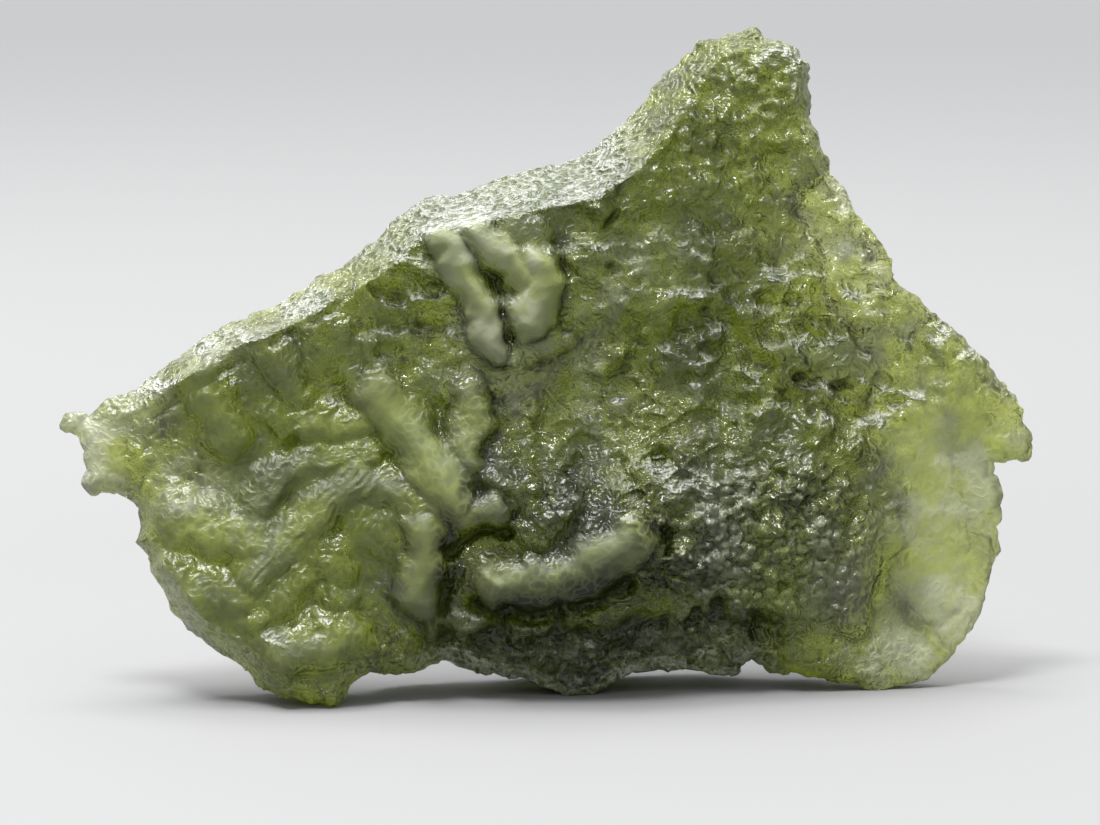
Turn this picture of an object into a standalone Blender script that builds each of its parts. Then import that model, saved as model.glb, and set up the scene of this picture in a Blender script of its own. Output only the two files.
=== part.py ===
"""A moldavite: one leaf-shaped piece of natural green glass that stands on a small flat spot.

The stone is drawn as a sheet seen square from its front. Millimetres run right (u) and up (v) over
the sheet, and w is the depth towards the viewer. The sheet then leans back and is cut flat at the
surface that it stands on. The origin is the middle of the flat spot, +X is the stone's length, +Y
points away from the viewer and +Z is up.
"""

import math
import random

import bmesh
import bpy
import numpy as np
from mathutils import Vector, kdtree, noise
from mathutils.geometry import delaunay_2d_cdt

MM = 0.001
LEAN = math.radians(8.0)
FLAT_SPOT = (1.37, 6.14)

# How finely the sheet is sampled, in millimetres.
CELL = 0.1
RIM_STEP = 0.85
FRONT_STEP = 0.72
BACK_STEP = 0.98
RIM_RINGS = (0.3, 0.75)
LOBE_LINES = (0.0, 0.72, 1.04)
LOBE_STEP = 0.58
LEAST_STEP = 0.34
ROUGH_RIM = 0.1
THINNEST = 0.5

# The outline, clockwise from the left tip, with the corners that the eye catches.
TOP_EDGE = [
    (-24.4, 14.0), (-24.1, 14.6), (-23.4, 14.6), (-22.9, 14.5), (-22.2, 15.2), (-21.1, 15.5), (-19.9, 16.4),
    (-18.5, 17.5), (-17.3, 18.4), (-16.0, 19.1), (-14.5, 19.8), (-13.4, 20.2), (-12.2, 21.0), (-10.4, 22.0),
    (-8.6, 23.3), (-7.7, 24.3), (-6.9, 25.0), (-5.8, 25.5), (-4.5, 25.7), (-2.5, 26.4), (-0.5, 27.0),
    (1.5, 27.5), (2.5, 28.2), (3.5, 29.0), (4.5, 30.0), (5.3, 31.0), (6.0, 31.9), (6.8, 32.6), (7.6, 33.3),
    (8.6, 33.6), (9.5, 33.8), (10.4, 33.9), (10.8, 33.5), (11.7, 33.3), (12.3, 32.9), (12.9, 32.2),
]
RIGHT_EDGE = [
    (13.0, 31.3), (13.0, 29.5), (13.4, 28.7), (14.1, 26.7), (15.0, 25.4), (15.9, 24.0), (16.7, 23.0),
    (17.1, 22.4), (17.3, 21.6), (17.7, 21.0), (18.4, 20.5), (19.7, 19.5), (20.4, 18.9), (21.1, 18.1),
    (21.9, 17.4), (22.5, 16.6), (23.5, 15.6), (23.9, 14.8), (24.0, 14.1), (24.3, 13.6), (24.4, 12.8),
    (24.1, 12.4), (23.2, 12.3), (22.5, 12.1), (22.4, 11.6), (22.8, 11.1), (23.0, 10.3), (22.9, 9.6),
    (22.6, 8.9), (22.8, 7.7), (22.4, 7.0), (22.2, 6.3), (22.0, 5.3), (21.6, 4.3), (21.0, 3.2), (20.3, 2.3),
    (19.5, 1.5), (18.7, 1.1),
]
BOTTOM_EDGE = [
    (17.5, 0.8), (16.3, 0.5), (15.6, 0.9), (14.6, 1.1), (12.7, 1.4), (11.2, 1.6), (10.4, 2.2), (9.8, 2.1),
    (9.5, 1.5), (8.7, 1.4), (7.5, 1.7), (5.0, 1.7), (3.8, 1.5), (3.1, 1.0), (2.5, 0.6), (1.7, 0.4),
    (0.9, 0.3), (0.2, 0.6), (-0.4, 1.0), (-1.3, 1.3), (-3.6, 1.6), (-4.6, 2.1), (-5.4, 2.3), (-6.4, 1.8),
    (-7.7, 1.6), (-8.9, 1.7), (-9.5, 1.6), (-10.0, 1.0), (-10.3, 0.2), (-10.9, -0.2),
]
LEFT_EDGE = [
    (-11.6, 0.2), (-13.7, 0.6), (-14.3, 0.9), (-14.8, 1.5), (-15.8, 2.3), (-16.7, 2.9), (-17.7, 3.5),
    (-18.4, 4.3), (-19.0, 5.1), (-19.3, 5.8), (-20.0, 6.7), (-20.0, 7.5), (-20.7, 8.1), (-20.4, 9.0),
    (-20.5, 9.8), (-20.9, 10.3), (-21.5, 10.7), (-22.9, 10.7), (-23.4, 11.1), (-23.1, 11.8), (-23.2, 12.8),
    (-23.5, 13.5),
]
OUTLINE = TOP_EDGE + RIGHT_EDGE + BOTTOM_EDGE + LEFT_EDGE

# The body under the relief: u, v, depth of the front face, and thickness.
BODY = [
    (-23.5, 13.0, -0.8, 0.8), (-20.5, 9.5, -0.5, 3.0), (-16.0, 5.0, 0.3, 4.4), (-11.0, 1.0, 0.8, 4.4),
    (-15.0, 12.0, -0.3, 5.0), (-9.0, 15.0, -0.5, 4.8), (-8.0, 8.0, 0.4, 5.0), (-15.0, 18.0, 0.9, 4.2),
    (-9.0, 21.8, 1.1, 4.0), (-4.0, 24.3, 1.3, 5.2), (-2.0, 20.0, 0.2, 4.2), (3.0, 25.8, 1.0, 6.6),
    (7.0, 29.0, 0.0, 5.0), (7.0, 32.0, -1.5, 3.2), (10.5, 32.5, -1.2, 3.2), (12.0, 28.0, -1.3, 3.0),
    (6.0, 22.0, -1.3, 5.5), (3.0, 15.0, -1.6, 6.0), (10.0, 20.0, -1.8, 4.6), (15.0, 22.6, -2.4, 0.9),
    (10.0, 14.0, -1.8, 6.2), (17.0, 17.0, -3.0, 2.6), (20.5, 16.5, -4.0, 2.0), (23.0, 13.5, -5.0, 1.1),
    (19.0, 10.0, -4.0, 1.5), (21.5, 8.0, -5.0, 1.0), (18.0, 4.0, -4.6, 1.1), (20.0, 3.0, -5.0, 0.9),
    (14.0, 3.0, -3.2, 3.4), (10.0, 8.0, -0.8, 7.6), (14.0, 9.0, -2.0, 6.0), (0.0, 9.0, 0.6, 8.0),
    (5.0, 8.0, 0.8, 8.6), (1.0, 6.0, 1.8, 9.6), (-3.0, 5.0, 1.0, 8.0), (-5.5, 6.0, 0.0, 6.0),
    (-5.0, 3.5, -0.8, 5.2), (0.0, 3.5, -1.5, 7.0), (5.0, 3.5, -1.5, 7.0), (1.0, 1.2, -4.2, 4.8),
    (5.0, 2.0, -3.6, 5.0), (9.0, 2.2, -3.6, 4.4), (-4.0, 2.2, -2.6, 4.4),
]
BODY_REACH = 2.6

# The edge: u, v, share of the thickness that lies behind the rim's line towards the front, the widths
# over which the front and the back face turn in to the rim, and how round the front's turn is. A turn
# that isn't round is a straight slope up to a crisp ridge.
EDGE = [
    (-24.0, 14.0, 0.5, 0.7, 0.7, 0.8), (-18.0, 17.5, 0.8, 1.2, 0.6, 0.3), (-11.0, 21.3, 0.85, 1.5, 0.6, 0.2),
    (-5.0, 25.5, 0.85, 1.8, 0.6, 0.1), (1.0, 27.3, 0.9, 2.4, 0.6, 0.0), (4.5, 30.0, 0.85, 2.3, 0.6, 0.1),
    (8.0, 33.5, 0.7, 1.3, 0.6, 0.6), (12.9, 32.0, 0.5, 0.6, 0.6, 0.6), (14.5, 26.0, 0.6, 0.7, 0.6, 0.5),
    (18.0, 20.8, 0.6, 0.9, 0.7, 0.7), (22.0, 17.4, 0.6, 1.0, 0.7, 0.8), (24.4, 12.8, 0.5, 0.8, 0.8, 1.0),
    (22.8, 8.0, 0.5, 0.9, 0.9, 1.0), (20.3, 2.3, 0.5, 0.9, 0.9, 1.0), (15.6, 0.9, 0.5, 0.8, 0.5, 1.0),
    (9.6, 1.6, 0.3, 0.8, 0.4, 0.6), (5.0, 1.7, 0.15, 0.6, 0.35, 0.4), (1.0, 0.3, 0.1, 0.5, 0.25, 0.4),
    (-4.6, 2.1, 0.3, 0.8, 0.4, 0.5), (-10.6, 0.0, 0.5, 0.7, 0.5, 0.6), (-16.0, 2.5, 0.6, 1.2, 0.6, 0.3),
    (-20.2, 7.5, 0.6, 0.9, 0.6, 0.5), (-23.2, 11.5, 0.5, 0.7, 0.7, 0.8),
]
EDGE_REACH = 3.0

# The broken band along the foot of the front stands back from this line, in millimetres.
LIP_LINE = [(-7.5, 3.4), (-5.5, 4.3), (-2.5, 4.2), (0.5, 4.1), (3.5, 4.5), (6.5, 5.0), (9.5, 5.2), (12.0, 4.6)]
LIP_DROP = 1.9
LIP_RUN = 0.9
LIP_FADE = 1.8

# Raised lobes that can be told apart on the front: path, half width and height. A fullness of 1 makes
# their sections parabolas and 0.5 half ovals. The skirt is the share of its half width by which a lobe is
# drawn out on its upper left side, and the knobs are the share by which its width comes and goes. The back
# sinks behind each lobe by so many times its height, as far as the least wall allows.
LOBE_FULLNESS = 0.8
LOBE_SKIRT = 0.8
LOBE_KNOBS = 0.1
SKIRT_SIDE = (-0.64, 0.77)
BACK_FOLLOWS = 1.9
LEAST_WALL = 0.7
FINGERS = [
    ([(-5.1, 22.9), (-4.6, 22.1), (-3.9, 20.9), (-3.3, 19.5), (-2.8, 17.9)], 1.05, 1.5),
    ([(-3.4, 23.3), (-2.0, 22.2), (-1.3, 21.4)], 1.25, 1.2),
    ([(-0.3, 21.7), (-0.2, 20.2), (-0.9, 19.0)], 1.15, 1.4),
    ([(-1.6, 23.6), (-0.8, 23.2)], 1.0, 0.7),
    ([(2.9, 26.3), (2.8, 24.8)], 0.5, 0.6),
    ([(-7.4, 22.4), (-5.9, 21.9)], 0.85, 0.6),
    ([(-6.8, 20.4), (-5.2, 20.1)], 0.55, 0.45),
    ([(-1.6, 17.3), (0.6, 18.3)], 0.75, 0.6),
    ([(2.0, 19.7), (5.0, 20.0)], 1.5, 0.6),
    ([(2.7, 17.2), (3.7, 17.9)], 0.9, 0.65),
    ([(1.7, 21.9), (2.5, 21.3)], 0.7, 0.5),
]
PALM = [
    ([(-8.1, 15.0), (-6.6, 13.2), (-5.4, 11.6), (-4.7, 10.2)], 1.3, 1.25),
    ([(-3.6, 15.0), (-4.2, 12.5)], 1.0, 1.0),
    ([(-6.0, 8.7), (-6.1, 6.7), (-6.5, 5.2)], 0.95, 1.2),
    ([(-4.5, 9.5), (-2.5, 9.8)], 0.8, 1.0),
    ([(-3.1, 11.4), (-2.1, 11.1)], 0.6, 0.6),
    ([(-10.0, 11.5), (-8.0, 10.9), (-6.0, 9.8)], 1.15, 0.75),
    ([(-8.8, 8.9), (-8.2, 8.6)], 1.4, 0.5),
    ([(-7.5, 15.9), (-5.5, 15.9)], 0.8, 0.5),
]
LIP = [
    ([(-2.5, 5.9), (-0.5, 5.9), (1.5, 6.3), (3.2, 7.4), (4.4, 8.3)], 1.15, 1.4),
    ([(-4.0, 7.4), (-3.0, 5.9)], 1.2, 0.45),
    ([(-1.0, 8.4), (-0.8, 8.4)], 0.75, 0.5),
    ([(-0.2, 9.3), (1.3, 10.5)], 0.85, 0.6),
    ([(2.0, 8.5), (2.5, 9.4)], 0.6, 0.5),
    ([(-1.5, 10.6), (-0.8, 11.0)], 0.75, 0.5),
    ([(4.7, 11.9), (5.5, 9.4)], 0.9, 0.6),
]
LEFT_LOBES = [
    ([(-17.1, 16.0), (-16.0, 13.6)], 1.35, 0.74),
    ([(-12.0, 13.9), (-9.5, 13.9)], 0.95, 0.7),
    ([(-13.3, 14.3), (-13.2, 14.1)], 0.8, 0.41),
    ([(-14.5, 10.0), (-12.7, 11.6), (-10.2, 12.5), (-8.9, 12.6)], 0.85, 0.61),
    ([(-17.7, 8.9), (-14.7, 8.3)], 1.5, 0.7),
    ([(-17.7, 5.9), (-15.1, 5.4)], 1.3, 0.53),
    ([(-14.5, 6.4), (-12.0, 9.2), (-9.3, 11.6)], 1.05, 0.7),
    ([(-14.4, 4.2), (-12.3, 6.4)], 0.9, 0.49),
    ([(-13.1, 2.5), (-9.6, 3.5)], 1.15, 0.7),
    ([(-10.8, 7.0), (-10.4, 7.0)], 1.2, 0.49),
    ([(-10.4, 5.4), (-10.2, 5.3)], 0.9, 0.41),
    ([(-13.7, 17.8), (-12.5, 15.5)], 1.15, 0.57),
    ([(-10.2, 18.3), (-9.8, 16.5)], 0.85, 0.49),
    ([(-8.9, 17.8), (-8.8, 15.7)], 0.6, 0.41),
    ([(-11.6, 18.8), (-11.2, 17.4)], 0.9, 0.37),
    ([(-21.2, 12.5), (-20.6, 12.3)], 1.0, 0.25),
]
RIGHT_LOBES = [
    ([(12.0, 17.4), (14.7, 17.3)], 1.2, 0.5),
    ([(15.8, 19.4), (17.0, 19.0)], 0.9, 0.4),
    ([(20.5, 15.0), (17.5, 12.4)], 1.8, 0.6),
    ([(18.7, 12.0), (19.7, 8.0), (19.2, 5.4)], 1.6, 0.7),
    ([(16.3, 8.6), (15.3, 4.2)], 0.9, 0.6),
]
LOBES = FINGERS + PALM + LIP + LEFT_LOBES + RIGHT_LOBES

# Fields of small relief: side, kind, centre, half extents, how many, half length, half width, depth,
# and the slope of their long side in degrees.
FIELDS = [
    ("front", "pit", (9.5, 29.0), (4.0, 5.0), 22, 1.3, 0.75, 0.4, -5),
    ("front", "pit", (7.0, 23.5), (8.0, 5.0), 45, 1.5, 0.85, 0.5, -8),
    ("front", "pit", (5.0, 15.5), (7.0, 4.0), 26, 1.7, 1.0, 0.5, -15),
    ("front", "pit", (14.0, 18.0), (6.0, 3.5), 26, 1.5, 0.85, 0.5, -12),
    ("front", "lump", (11.0, 9.5), (6.5, 5.0), 60, 1.1, 0.9, 0.6, 20),
    ("front", "lump", (2.0, 2.8), (9.0, 1.6), 34, 1.0, 0.8, 0.55, 10),
    ("back", "pit", (-8.0, 11.0), (16.0, 12.0), 60, 2.0, 1.15, 0.8, 35),
    ("back", "pit", (9.0, 20.0), (14.0, 14.0), 60, 1.8, 1.1, 0.7, -30),
    ("back", "lump", (8.0, 9.0), (16.0, 9.0), 50, 1.6, 1.2, 0.7, 10),
]
SEED = 41

# Moldavite's colour, seen through a few millimetres of it.
GLASS_COLOUR = (0.24, 0.30, 0.09, 1.0)


def clear_scene():
    for obj in list(bpy.data.objects):
        bpy.data.objects.remove(obj)


def blend_table(table, reach, u, v):
    """Values of a table of points (u, v, values...), blended smoothly between the points."""
    points = np.array(table)
    d2 = (u[..., None] - points[:, 0]) ** 2 + (v[..., None] - points[:, 1]) ** 2
    weight = np.exp(-d2 / (2 * reach**2)) + 1e-3 / (d2 + 1.0)
    weight /= weight.sum(axis=-1, keepdims=True)
    return np.moveaxis(weight @ points[:, 2:], -1, 0)


class Canvas:
    """A grid over the sheet on which relief is painted, read back anywhere between its cells."""

    LOW = (-26.0, -1.5)
    HIGH = (26.0, 35.5)

    def __init__(self, cell):
        self.cell = cell
        self.us = np.arange(self.LOW[0], self.HIGH[0], cell)
        self.vs = np.arange(self.LOW[1], self.HIGH[1], cell)
        self.u, self.v = np.meshgrid(self.us, self.vs)
        u, v = self.u, self.v
        self.bent_u = u + 0.1 * np.sin(2.3 * v + 0.9 * u) + 0.05 * np.sin(4.1 * v - 3.3 * u + 1.7)
        self.bent_v = v + 0.1 * np.sin(2.6 * u - 0.7 * v + 0.5) + 0.05 * np.sin(4.6 * u + 2.9 * v)
        self.base = np.zeros_like(self.u)
        self.raised = np.zeros_like(self.u)
        self.sunk = np.zeros_like(self.u)

    def window(self, low_u, high_u, low_v, high_v):
        columns = slice(*np.searchsorted(self.us, [low_u, high_u]))
        rows = slice(*np.searchsorted(self.vs, [low_v, high_v]))
        return rows, columns

    def lobe(self, path, radius, height, skirt=LOBE_SKIRT):
        """A round-topped ridge along a path of straight runs, drawn out into a skirt on one side."""
        points = np.array(path)
        reach = radius * (1 + skirt) + 0.4
        low, high = points.min(axis=0) - reach, points.max(axis=0) + reach
        at = self.window(low[0], high[0], low[1], high[1])
        u, v = self.bent_u[at], self.bent_v[at]
        girth = radius * (1 + LOBE_KNOBS * np.sin(1.9 * u + 1.3 * v) * np.sin(1.7 * v - 0.8 * u + 2.0))
        nearest = np.full_like(u, 1e9)
        for (u0, v0), (u1, v1) in zip(path, path[1:]):
            run = np.array([u1 - u0, v1 - v0])
            along = ((u - u0) * run[0] + (v - v0) * run[1]) / (run @ run)
            along = np.clip(along, 0.0, 1.0)
            du, dv = u - u0 - along * run[0], v - v0 - along * run[1]
            away = np.hypot(du, dv) + 1e-9
            facing = np.clip((du * SKIRT_SIDE[0] + dv * SKIRT_SIDE[1]) / away, 0, 1)
            nearest = np.minimum(nearest, away / (girth * (1 + skirt * facing**2)))
        dome = height * np.clip(1 - nearest**2, 0, 1) ** LOBE_FULLNESS
        self.raised[at] = np.maximum(self.raised[at], dome)

    def groove(self, path, radius, depth, skirt=0.0):
        """A round-bottomed groove along a path."""
        raised = self.raised
        self.raised = np.zeros_like(raised)
        self.lobe(path, radius, depth, skirt)
        self.sunk = np.maximum(self.sunk, self.raised)
        self.raised = raised

    def shelf(self, line, drop, run, fade):
        """Sinks what lies under a line from left to right, out to the fade beyond its ends."""
        line_u, line_v = np.array(line).T
        wander = 0.35 * np.sin(1.7 * self.u) + 0.25 * np.sin(3.7 * self.u + 1.6 * np.sin(0.9 * self.u))
        below = np.clip((np.interp(self.u, line_u, line_v) + wander - self.bent_v) / run, 0, 1)
        ends = np.clip(np.minimum(self.u - line_u[0], line_u[-1] - self.u) / fade, 0, 1)
        self.base -= drop * below * ends * ends * (3 - 2 * ends)

    def dab(self, kind, centre, length, width, depth, angle):
        """One small oval pit or lump with its own slope."""
        reach = max(length, width)
        at = self.window(centre[0] - reach, centre[0] + reach, centre[1] - reach, centre[1] + reach)
        du, dv = self.u[at] - centre[0], self.v[at] - centre[1]
        along = (du * math.cos(angle) + dv * math.sin(angle)) / length
        across = (dv * math.cos(angle) - du * math.sin(angle)) / width
        dome = depth * np.clip(1 - along**2 - across**2, 0, 1)
        if kind == "pit":
            self.sunk[at] = np.maximum(self.sunk[at], dome)
        else:
            self.raised[at] = np.maximum(self.raised[at], dome)

    def field(self, draw, kind, centre, extents, count, length, width, depth, slope):
        """Many dabs of one kind scattered in an oval."""
        for _ in range(count):
            turn, out = draw.uniform(0, 2 * math.pi), math.sqrt(draw.random())
            place = (
                centre[0] + extents[0] * out * math.cos(turn),
                centre[1] + extents[1] * out * math.sin(turn),
            )
            size = draw.uniform(0.7, 1.35)
            angle = math.radians(slope + draw.uniform(-35, 35))
            self.dab(kind, place, length * size, width * size, depth * size * draw.uniform(0.6, 1.2), angle)

    def height(self):
        return self.base + self.raised - self.sunk

    def read(self, grid, u, v):
        """A grid's values at points, blended between the four nearest cells."""
        x = np.clip((u - self.us[0]) / self.cell, 0, len(self.us) - 1.001)
        y = np.clip((v - self.vs[0]) / self.cell, 0, len(self.vs) - 1.001)
        i, j = x.astype(int), y.astype(int)
        fx, fy = x - i, y - j
        low = grid[j, i] * (1 - fx) + grid[j, i + 1] * fx
        high = grid[j + 1, i] * (1 - fx) + grid[j + 1, i + 1] * fx
        return low * (1 - fy) + high * fy


def paint_relief(cell):
    """The front's and the back's relief."""
    sides = {"front": Canvas(cell), "back": Canvas(cell)}
    sides["front"].shelf(LIP_LINE, LIP_DROP, LIP_RUN, LIP_FADE)
    for path, radius, height in LOBES:
        sides["front"].lobe(path, radius, height)
        sides["back"].groove(path, radius, height * BACK_FOLLOWS, LOBE_SKIRT)
    draw = random.Random(SEED)
    for side, *field in FIELDS:
        sides[side].field(draw, *field)
    return sides


def rim_line(step):
    """The outline as points about a step apart, with a slightly ragged edge between its corners."""
    points = []
    for (u0, v0), (u1, v1) in zip(OUTLINE, OUTLINE[1:] + OUTLINE[:1]):
        length = math.hypot(u1 - u0, v1 - v0)
        parts = max(1, round(length / step))
        across = Vector((v1 - v0, u0 - u1)) / length
        for k in range(parts):
            share = k / parts
            at = Vector((u0 + (u1 - u0) * share, v0 + (v1 - v0) * share))
            if k:
                at += across * ROUGH_RIM * noise.noise(Vector((at.x * 2, at.y * 2, 0)))
            points.append((at.x, at.y))
    return np.array(points)


def is_inside(points, rim):
    """Which points lie inside the rim, by counting the rim's crossings to the right of each."""
    inside = np.zeros(len(points), bool)
    for (u0, v0), (u1, v1) in zip(rim, np.roll(rim, -1, axis=0)):
        if v0 == v1:
            continue
        crosses = (points[:, 1] < v0) != (points[:, 1] < v1)
        at = u0 + (points[:, 1] - v0) / (v1 - v0) * (u1 - u0)
        inside ^= crosses & (points[:, 0] < at)
    return inside


class Rim:
    """The rim's points in a tree, to find how far in from the rim a point lies."""

    SPACING = 0.08

    def __init__(self, rim):
        dense = []
        for a, b in zip(rim, np.roll(rim, -1, axis=0)):
            parts = max(1, math.ceil(np.hypot(*(b - a)) / self.SPACING))
            dense += [a + (b - a) * k / parts for k in range(parts)]
        self.tree = kdtree.KDTree(len(dense))
        for k, (u, v) in enumerate(dense):
            self.tree.insert((u, v, 0), k)
        self.tree.balance()

    def distance(self, points):
        return np.array([self.tree.find((u, v, 0))[2] for u, v in points])


def beside_path(path, offset, step):
    """Points that run round a path at an offset from it."""
    if offset == 0:
        found = []
        for (u0, v0), (u1, v1) in zip(path, path[1:]):
            parts = max(1, round(math.hypot(u1 - u0, v1 - v0) / step))
            found += [(u0 + (u1 - u0) * k / parts, v0 + (v1 - v0) * k / parts) for k in range(parts)]
        return found + [path[-1]]
    found = []
    for (u0, v0), (u1, v1) in zip(path, path[1:]):
        length = math.hypot(u1 - u0, v1 - v0)
        nu, nv = (v0 - v1) / length * offset, (u1 - u0) / length * offset
        parts = max(1, round(length / step))
        for k in range(parts + 1):
            u, v = u0 + (u1 - u0) * k / parts, v0 + (v1 - v0) * k / parts
            found += [(u + nu, v + nv), (u - nu, v - nv)]
    turns = max(6, round(2 * math.pi * offset / step))
    for u, v in (path[0], path[-1]):
        found += [
            (u + offset * math.cos(2 * math.pi * k / turns), v + offset * math.sin(2 * math.pi * k / turns))
            for k in range(turns)
        ]
    runs = list(zip(path, path[1:]))
    return [p for p in found if min(run_distance(p, run) for run in runs) > offset * 0.97]


def run_distance(point, run):
    (u0, v0), (u1, v1) = run
    du, dv = u1 - u0, v1 - v0
    along = ((point[0] - u0) * du + (point[1] - v0) * dv) / (du * du + dv * dv)
    along = min(max(along, 0), 1)
    return math.hypot(point[0] - u0 - along * du, point[1] - v0 - along * dv)


def thin_out(points, least):
    """Drops each point that is closer than the least distance to one before it."""
    kept, cells = [], {}
    for u, v in points:
        i, j = math.floor(u / least), math.floor(v / least)
        near = [p for di in (-1, 0, 1) for dj in (-1, 0, 1) for p in cells.get((i + di, j + dj), ())]
        if all(math.hypot(u - p[0], v - p[1]) >= least for p in near):
            cells.setdefault((i, j), []).append((u, v))
            kept.append((u, v))
    return np.array(kept)


def sheet_points(rim, tree, step, lobes):
    """Points that fill the sheet: rings beside the rim, lines along the lobes, then a grid between them."""
    inward = np.roll(rim, -1, axis=0) - np.roll(rim, 1, axis=0)
    inward = np.stack([inward[:, 1], -inward[:, 0]], axis=1)
    inward /= np.linalg.norm(inward, axis=1, keepdims=True)
    found = []
    for offset in RIM_RINGS:
        ring = rim + inward * offset
        ring = ring[is_inside(ring, rim)]
        found += ring[tree.distance(ring) > offset * 0.85].tolist()
    for share in LOBE_LINES:
        for path, radius, _ in lobes:
            found += beside_path(path, radius * share, LOBE_STEP)
    found = np.array(found)
    found = found[is_inside(found, rim)]
    found = thin_out(found[tree.distance(found) > RIM_RINGS[0] * 0.8], LEAST_STEP)
    low, high = rim.min(axis=0), rim.max(axis=0)
    grid = []
    for k, v in enumerate(np.arange(low[1], high[1], step * math.sqrt(3) / 2)):
        grid += [(u, v) for u in np.arange(low[0] + (k % 2) * step / 2, high[0], step)]
    grid = np.array(grid)
    grid = grid[is_inside(grid, rim)]
    grid = grid[tree.distance(grid) > RIM_RINGS[-1] + step * 0.45]
    lines = kdtree.KDTree(len(found))
    for k, (u, v) in enumerate(found):
        lines.insert((u, v, 0), k)
    lines.balance()
    clear = np.array([lines.find((u, v, 0))[2] for u, v in grid]) > step * 0.62
    return np.concatenate([found, grid[clear]])


def triangulate(rim, inner):
    """Triangles over the sheet. The rim's points come first."""
    points = [Vector(p) for p in np.concatenate([rim, inner])]
    rim_edges = [(k, (k + 1) % len(rim)) for k in range(len(rim))]
    made = delaunay_2d_cdt(points, rim_edges, [], 0, 1e-6, False)
    points, triangles = np.array([tuple(p) for p in made[0]]), np.array(made[2])
    return points, triangles[is_inside(points[triangles].mean(axis=1), rim)].tolist()


def turn_in(share, roundness):
    """How far the face has risen at a share of the way in from the rim."""
    share = np.clip(share, 0, 1)
    return roundness * np.sqrt(1 - (1 - share) ** 2) + (1 - roundness) * share


def depths(points, inset, relief, side):
    """The depth w of one face at points that lie inset from the rim."""
    u, v = points[:, 0], points[:, 1]
    front, thick = blend_table(BODY, BODY_REACH, u, v)
    behind, front_width, back_width, roundness = blend_table(EDGE, EDGE_REACH, u, v)
    rim_depth = front - thick * behind
    swell = np.clip(thick / 2.5, 0.35, 1)
    on_face = roundness + (1 - roundness) * np.clip((inset / front_width - 0.75) / 0.35, 0, 1)
    front_face = front + relief["front"].read(relief["front"].height(), u, v) * swell * on_face
    if side == "front":
        edge = rim_depth + THINNEST / 2
        face = np.maximum(front_face, edge + THINNEST / 4)
        return edge + (face - edge) * turn_in(inset / front_width, roundness)
    edge = rim_depth - THINNEST / 2
    back_face = front - thick - relief["back"].read(relief["back"].height(), u, v) * swell
    face = np.minimum(np.minimum(back_face, front_face - LEAST_WALL), edge - THINNEST / 4)
    return edge + (face - edge) * turn_in(inset / back_width, 0.8)


def place(u, v, w):
    """A point of the sheet in the stone's own frame, in metres: leant back, with the flat spot's middle at 0."""
    y = v * math.sin(LEAN) - w * math.cos(LEAN)
    z = v * math.cos(LEAN) + w * math.sin(LEAN)
    return Vector(((u - FLAT_SPOT[0]) * MM, (y - FLAT_SPOT[1]) * MM, z * MM))


def build_stone():
    relief = paint_relief(CELL)
    rim = rim_line(RIM_STEP)
    tree = Rim(rim)
    bm = bmesh.new()
    edges = {}
    for side, step, lobes in (("front", FRONT_STEP, LOBES), ("back", BACK_STEP, [])):
        points, triangles = triangulate(rim, sheet_points(rim, tree, step, lobes))
        w = depths(points, tree.distance(points), relief, side)
        verts = [bm.verts.new(place(*p, d)) for p, d in zip(points, w)]
        edges[side] = verts[: len(rim)]
        for triangle in triangles:
            corners = [verts[k] for k in triangle]
            bm.faces.new(corners if side == "front" else corners[::-1])
    front, back = edges["front"], edges["back"]
    for k in range(len(rim)):
        after = (k + 1) % len(rim)
        bm.faces.new((front[k], front[after], back[after], back[k]))
    cut_flat(bm)
    bmesh.ops.triangulate(bm, faces=bm.faces)
    mesh = bpy.data.meshes.new("moldavite")
    bm.to_mesh(mesh)
    bm.free()
    stone = bpy.data.objects.new("moldavite", mesh)
    bpy.context.collection.objects.link(stone)
    mesh.materials.append(glass())
    mesh.shade_smooth()
    return stone


def cut_flat(bm):
    """Takes off what lies under the surface that the stone stands on, and closes the cuts."""
    whole = bm.verts[:] + bm.edges[:] + bm.faces[:]
    bmesh.ops.bisect_plane(bm, geom=whole, plane_co=(0, 0, 0), plane_no=(0, 0, 1), clear_inner=True)
    open_edges = [e for e in bm.edges if e.is_boundary]
    bmesh.ops.holes_fill(bm, edges=open_edges, sides=0)


def glass():
    material = bpy.data.materials.new("moldavite_glass")
    material.use_nodes = True
    shader = material.node_tree.nodes["Principled BSDF"]
    shader.inputs["Base Color"].default_value = GLASS_COLOUR
    shader.inputs["Roughness"].default_value = 0.15
    shader.inputs["Metallic"].default_value = 0.0
    shader.inputs["Transmission Weight"].default_value = 1.0
    shader.inputs["IOR"].default_value = 1.49
    return material


clear_scene()
build_stone()
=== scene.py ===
"""The moldavite's looks: a finer copy of its surface in green glass, on a plain pale floor.

The stone is drawn as in its CAD source: u runs right and v up over the sheet, in millimetres, and w is
the depth towards the viewer. The finer copy adds the small pits, beads and flow lines that the CAD
solid leaves out.
"""

import math
import random

import bpy
import numpy as np
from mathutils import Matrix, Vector, kdtree, noise
from mathutils.geometry import delaunay_2d_cdt


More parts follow.
